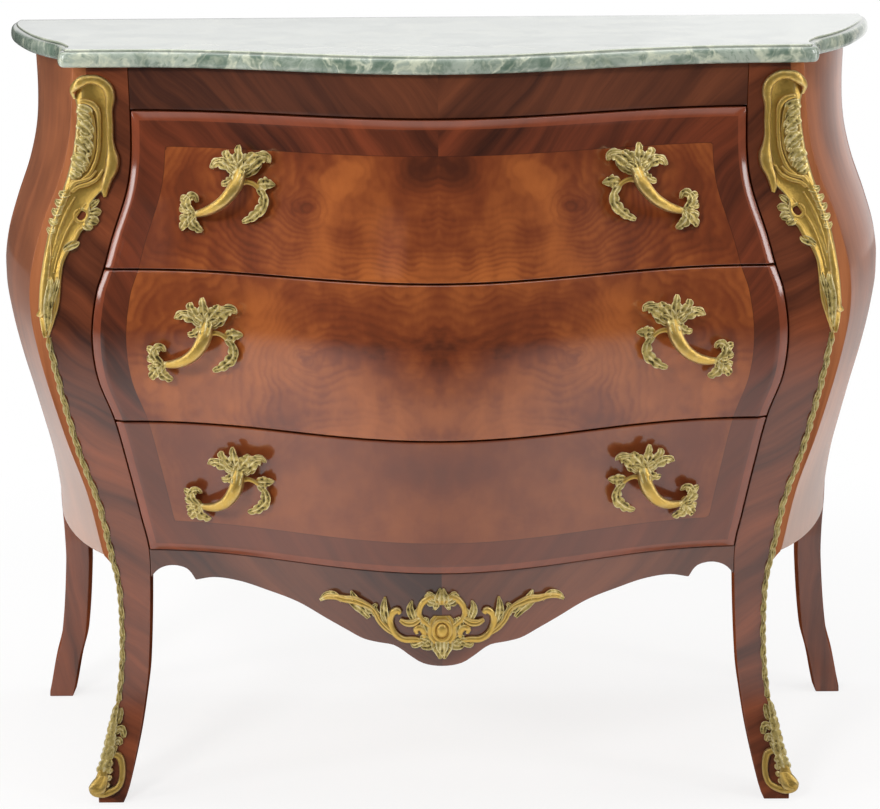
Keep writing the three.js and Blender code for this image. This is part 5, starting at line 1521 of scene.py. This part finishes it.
def apron_mount():
    """The apron mount: crown, boss and shield between scrolls and leaf branches."""
    bm = bmesh.new()
    strokes = measured(
        APRON_PICKS, on_apron, lambda point: ((PICTURE_MIDDLE[0] - point[0]) * MM, APRON_HEIGHT * MM),
    )
    cast(bm, on_apron, strokes)
    cast(bm, lambda x, z, w: on_apron(-x, z, w), strokes)
    for vert in bmesh.ops.create_uvsphere(bm, u_segments=24, v_segments=14, radius=1)["verts"]:
        x, z, w = BOSS_WIDE * vert.co.x, BOSS_HEIGHT + BOSS_TALL * vert.co.y, max(vert.co.z, -0.3)
        vert.co = on_apron(x * MM, z * MM, (BOSS_BASE + BOSS_RISE * w) * MM)
    rim = [
        (RIM_WIDE * math.sin(turn), BOSS_HEIGHT + RIM_TALL * math.cos(turn), RIM_RISE, RIM_HALF)
        for turn in spread(0, 2 * math.pi, 12)
    ]
    strip(bm, on_apron, "rod", rim, steps=3)
    return relief_for_patina_and_shade(bm)


# Operators

class CommodeOperator:
    bl_options = {"REGISTER", "UNDO"}


class COMMODE_OT_marble(CommodeOperator, bpy.types.Operator):
    """Lays the marble top"""

    bl_idname = "commode.marble"
    bl_label = "Marble top"

    def execute(self, context):
        material = marble_material(looks_of(context))
        finished("marble_slab", marble_top(), "carcass", material, "marble_top")
        return {"FINISHED"}


class COMMODE_OT_posts(CommodeOperator, bpy.types.Operator):
    """Builds the veneered corner posts with their legs, and the back legs"""

    bl_idname = "commode.posts"
    bl_label = "Posts and legs"

    def execute(self, context):
        looks, edge = looks_of(context), sizes_of(context).edge_round
        tones = looks.frame_light, looks.frame_dark
        side_tones = looks.post_side_light, looks.post_side_dark
        front = banding_material("post_veneer", 58, *tones, 0.75, 42.0)
        back = banding_material("back_leg_veneer", 4, *tones, 0.6)
        inner = banding_material("leg_side_veneer", 4, *tones, 0.6, coat=0.0)
        outer = banding_material("post_side_veneer", 4, *side_tones, 0.6, coat=0.0)
        for side, turn in SIDES:
            for name, shape, material in (("front_leg", front_leg, front), ("back_leg", back_leg, back)):
                piece = veneered(f"{name}_{side}", on_side(shape(edge), turn), material)
                piece.data.materials.append(inner)
                piece.data.materials.append(outer)
                for face in piece.data.polygons:
                    if abs(face.normal.x) > SIDEWAYS:
                        outward = face.normal.x * turn > 0 and material == front
                        face.material_index = 2 if outward else 1
        return {"FINISHED"}


class COMMODE_OT_case(CommodeOperator, bpy.types.Operator):
    """Builds the side panels, the rail over the drawers and the apron"""

    bl_idname = "commode.case"
    bl_label = "Sides, rail and apron"

    def execute(self, context):
        looks, edge = looks_of(context), sizes_of(context).edge_round
        sides = side_material(looks)
        rail = banding_material("rail_veneer", 42, looks.rail_light, looks.rail_dark, 0.9, 48.0)
        skirt = banding_material("apron_veneer", 50, looks.rail_light, looks.rail_dark, 0.7, 44.0)
        for side, turn in SIDES:
            veneered(f"side_panel_{side}", on_side(side_panel(edge), turn), sides)
        veneered("top_rail", top_rail(edge), rail)
        veneered("apron", apron(edge), skirt)
        return {"FINISHED"}


# The figure of each drawer front, and how far it leans to the plain colour. The bottom drawer leans most:
# its figure is quieter and its field darker, and its cross band is painted lighter for the light from below.
FIGURES = {
    "top": {
        "Heart_Height": 0.738, "Heart_Width": 1.3, "Eye_Across": 0.138, "Eye_Height": 0.684, "Seed": 3.1,
        "Smoke": 0.15, "Smoke_Height": 0.66, "Line_Strength": 0.42,
    },
    "middle": {
        "Heart_Height": 0.512, "Heart_Width": 1.8, "Eye_Across": 0.146, "Eye_Height": 0.532, "Seed": 7.7,
        "Smoke": 0.6, "Smoke_Height": 0.548, "Line_Strength": 0.4,
    },
    "bottom": {
        "Heart_Height": 0.41, "Heart_Width": 1.5, "Eye_Across": 0.13, "Eye_Height": 0.362, "Seed": 12.4,
        "Smoke": 0.1, "Smoke_Height": 0.4, "Line_Strength": 0.16,
    },
}
CALM_AND_PAINTED_LIGHT = {"top": 0.05, "middle": 0.12, "bottom": 0.6}


class COMMODE_OT_drawers(CommodeOperator, bpy.types.Operator):
    """Builds the three drawer fronts"""

    bl_idname = "commode.drawers"
    bl_label = "Drawer fronts"

    def execute(self, context):
        looks, sizes = looks_of(context), sizes_of(context)
        for index, name in enumerate(DRAWERS):
            material = drawer_material(f"{name}_drawer_veneer", FIGURES[name], CALM_AND_PAINTED_LIGHT[name], looks)
            notes = {"inset": lambda co, index=index: drawer_inset(index, co)}
            front = drawer_front(index, sizes)
            veneered(f"{name}_drawer_front", front, material, f"{name}_drawer", notes)
        return {"FINISHED"}


# Words in the names of the CAD solids that stay as they are, by finish. A board's finish is its grain's axis.
INSIDE = {
    "steel": ("screw",), "Z": ("back_panel",), "X": ("board", "back_top_rail", "_bottom", "drawer_back"),
    "Y": ("drawer_side", "guide"),
}


class COMMODE_OT_inside(CommodeOperator, bpy.types.Operator):
    """Finishes the plain boards, guides and screws that the frame already holds"""

    bl_idname = "commode.inside"
    bl_label = "Boards and screws"

    def execute(self, context):
        looks = looks_of(context)
        finishes = {axis: board_material(f"plain_board_{axis.lower()}", axis, looks) for axis in "XYZ"}
        finishes["steel"] = steel_material()
        for name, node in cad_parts.items():
            kind = next((kind for kind, words in INSIDE.items() if any(word in name for word in words)), None)
            if kind:
                node.data.materials.clear()
                node.data.materials.append(finishes[kind])
        return {"FINISHED"}


def gilded(node, bm, brass, body="carcass"):
    """A brass casting that stands for a node."""
    return finished(f"cast_{node}", bm, body, brass, node)


class COMMODE_OT_mounts(CommodeOperator, bpy.types.Operator):
    """Makes the cast brass mounts of the corners and the apron"""

    bl_idname = "commode.mounts"
    bl_label = "Corner and apron mounts"

    def execute(self, context):
        brass = brass_material(looks_of(context))
        worn = brass_material(looks_of(context), "worn_brass", 0.36)
        castings = ("chute", chute, brass), ("keel_band", keel_band, worn), ("sabot", sabot, worn)
        for side, turn in SIDES:
            for name, shape, metal in castings:
                gilded(f"{name}_{side}", on_side(shape(), turn), metal)
        gilded("apron_mount", apron_mount(), brass)
        return {"FINISHED"}


class COMMODE_OT_handles(CommodeOperator, bpy.types.Operator):
    """Makes the six cast handles"""

    bl_idname = "commode.handles"
    bl_label = "Handles"

    def execute(self, context):
        brass = brass_material(looks_of(context))
        for index, name in enumerate(DRAWERS):
            for side, turn in SIDES:
                gilded(f"{name}_drawer_handle_{side}", handle(index, turn), brass, f"{name}_drawer")
        return {"FINISHED"}


class COMMODE_OT_stage(CommodeOperator, bpy.types.Operator):
    """Sets the pale floor, the studio lamps and the camera"""

    bl_idname = "commode.stage"
    bl_label = "Stage"

    def execute(self, context):
        lay_floor()
        light_studio()
        light_world()
        set_camera()
        return {"FINISHED"}


# Stage

def lay_floor():
    """A white sheet, darker well in front of the chest and behind its left, where the lacquer mirrors it."""
    bm = bmesh.new()
    bmesh.ops.create_grid(bm, x_segments=1, y_segments=1, size=1)
    bmesh.ops.scale(bm, vec=(3.2, 3.6, 1), verts=bm.verts)
    bmesh.ops.translate(bm, vec=(0, 0.45, 0), verts=bm.verts)
    mesh = bpy.data.meshes.new("studio_floor")
    bm.to_mesh(mesh)
    bm.free()
    floor = bpy.data.objects.new("studio_floor", mesh)
    bpy.context.scene.collection.objects.link(floor)
    material, shader, w = new_material("floor_white", roughness=0.9, specular=0.0)
    x, y, _ = w.split(w.place())
    spot = w.vector("LENGTH", w.combine(x, y + 2.1, 0.0))
    behind_left = w.ramp(y, 1.3, 2.6) * w.ramp(x, -0.8, -0.35, 1.0, 0.0)
    pale = w.ramp(spot, 0.2, 1.8) * w.ramp(y, -3.0, -0.5) * (behind_left * -0.65 + 1.0)
    dark, light, white = (0.08, 0.08, 0.08, 1), (0.95, 0.95, 0.95, 1), (1, 1, 1, 1)
    w.feed(shader["Base Color"], w.mix(pale, dark, light))
    seen = w.node("ShaderNodeEmission", {"Color": white, "Strength": 1.0})
    far = w.ramp(w.vector("LENGTH", w.place()), 0.7, 1.5, 0.78, 1.0)
    camera_ray = w.node("ShaderNodeLightPath", output="Is Camera Ray")
    surface = next(node for node in w.tree.nodes if node.type == "OUTPUT_MATERIAL").inputs["Surface"]
    lit = Signal(w, surface.links[0].from_socket)
    w.feed(surface, w.node("ShaderNodeMixShader", {0: camera_ray * far, 1: lit, 2: seen}))
    mesh.materials.append(material)


def lamp(name, place, aim, size, power):
    data = bpy.data.lights.new(name, "AREA")
    data.shape = "RECTANGLE"
    data.size, data.size_y = size
    data.energy = power
    obj = bpy.data.objects.new(name, data)
    bpy.context.scene.collection.objects.link(obj)
    obj.location = place
    obj.rotation_euler = (Vector(aim) - Vector(place)).to_track_quat("-Z", "Y").to_euler()
    return obj


def light_studio():
    """Soft lamps above, at both sides and in front."""
    lamp("top_softbox", (0, 0.2, 2.8), (0, 0, 0.6), (2.8, 1.6), 30)
    lamp("left_softbox", (-2.4, 0.15, 0.9), (0, -0.1, 0.9), (0.9, 1.7), 11)
    lamp("right_softbox", (2.4, 0.15, 1.1), (0, -0.1, 0.9), (0.9, 2.1), 14)
    lamp("left_strip", (-2.2, -0.9, 1.5), (0, -0.1, 0.7), (0.4, 1.1), 10)
    lamp("right_strip", (2.2, -0.9, 1.5), (0, -0.1, 0.7), (0.4, 1.1), 10)
    fill = lamp("front_fill", (-1.5, -3.0, 2.2), (0, 0, 0.45), (0.8, 0.6), 56)
    fill.visible_glossy = False


def light_world():
    """A white background, and a dim room with a bright ceiling and a pale wall for the lacquer to mirror."""
    world = bpy.data.worlds.new("studio")
    bpy.context.scene.world = world
    world.use_nodes = True
    tree = world.node_tree
    tree.nodes.clear()
    w = Wires(tree)
    x, y, z = w.split(w.node("ShaderNodeTexCoord", output="Generated"))
    level_share = w.ramp(abs(x - 0.2), 0.1, 0.38, 1.0, 0.0) * w.ramp(x, -0.25, 0.15, 0.2, 1.0)
    raised_share = w.ramp(z, 0.03, 0.08, 0.0, 0.9) * w.ramp(abs(x), 0.2, 0.5, 1.0, 0.0)
    behind = w.maths("MAXIMUM", level_share, raised_share) * w.ramp(y, 0.0, 0.4)
    room = w.maths("MAXIMUM", behind * 0.94 + 0.06, w.ramp(z, 0.5, 0.8))
    glossy = w.node("ShaderNodeLightPath", output="Is Glossy Ray")
    level = glossy * room + w.maths("SUBTRACT", 1.0, glossy) * 0.4
    for ray in ("Is Camera Ray", "Is Transmission Ray"):
        level = w.maths("MAXIMUM", level, w.node("ShaderNodeLightPath", output=ray))
    light = w.node("ShaderNodeBackground", {"Color": (1, 1, 1, 1), "Strength": level})
    w.feed(tree.nodes.new("ShaderNodeOutputWorld").inputs["Surface"], light)
    bpy.context.scene.view_settings.view_transform = "Standard"


def set_camera():
    """The photograph's viewing angle and field of view."""
    place, right, up, ahead = camera_frame()
    data = bpy.data.cameras.new("camera")
    data.sensor_width = 36
    data.sensor_fit = "HORIZONTAL"
    data.lens = FOCAL / PICTURE_WIDTH * data.sensor_width
    data.clip_end = 100
    camera = bpy.data.objects.new("camera", data)
    bpy.context.scene.collection.objects.link(camera)
    turn = Matrix((right, up, -ahead)).transposed().to_4x4()
    camera.matrix_world = Matrix.Translation(place) @ turn
    bpy.context.scene.camera = camera


class COMMODE_PT_panel(bpy.types.Panel):
    """Shows the sizes and colours to change, and a button for each step"""

    bl_label = "Commode chest"
    bl_idname = "COMMODE_PT_panel"
    bl_space_type = "VIEW_3D"
    bl_region_type = "UI"
    bl_category = "Commode"

    def draw(self, context):
        layout = self.layout
        for item in (context.scene.commode_sizes, context.scene.commode_looks):
            for name in item.__annotations__:
                layout.prop(item, name)
        for step in STEPS:
            layout.operator(step.bl_idname)


STEPS = (
    COMMODE_OT_stage, COMMODE_OT_marble, COMMODE_OT_posts, COMMODE_OT_case, COMMODE_OT_drawers,
    COMMODE_OT_inside, COMMODE_OT_mounts, COMMODE_OT_handles,
)
CLASSES = (CommodeLooks, CommodeSizes, *STEPS, COMMODE_PT_panel)


def register():
    for item in CLASSES:
        bpy.utils.register_class(item)
    bpy.types.Scene.commode_looks = PointerProperty(type=CommodeLooks)
    bpy.types.Scene.commode_sizes = PointerProperty(type=CommodeSizes)


def unregister():
    del bpy.types.Scene.commode_sizes
    del bpy.types.Scene.commode_looks
    for item in reversed(CLASSES):
        bpy.utils.unregister_class(item)


def main():
    """Builds every piece in order."""
    register()
    for step in STEPS:
        group_name, name = step.bl_idname.split(".")
        getattr(getattr(bpy.ops, group_name), name)()


if __name__ == "__main__":
    main()
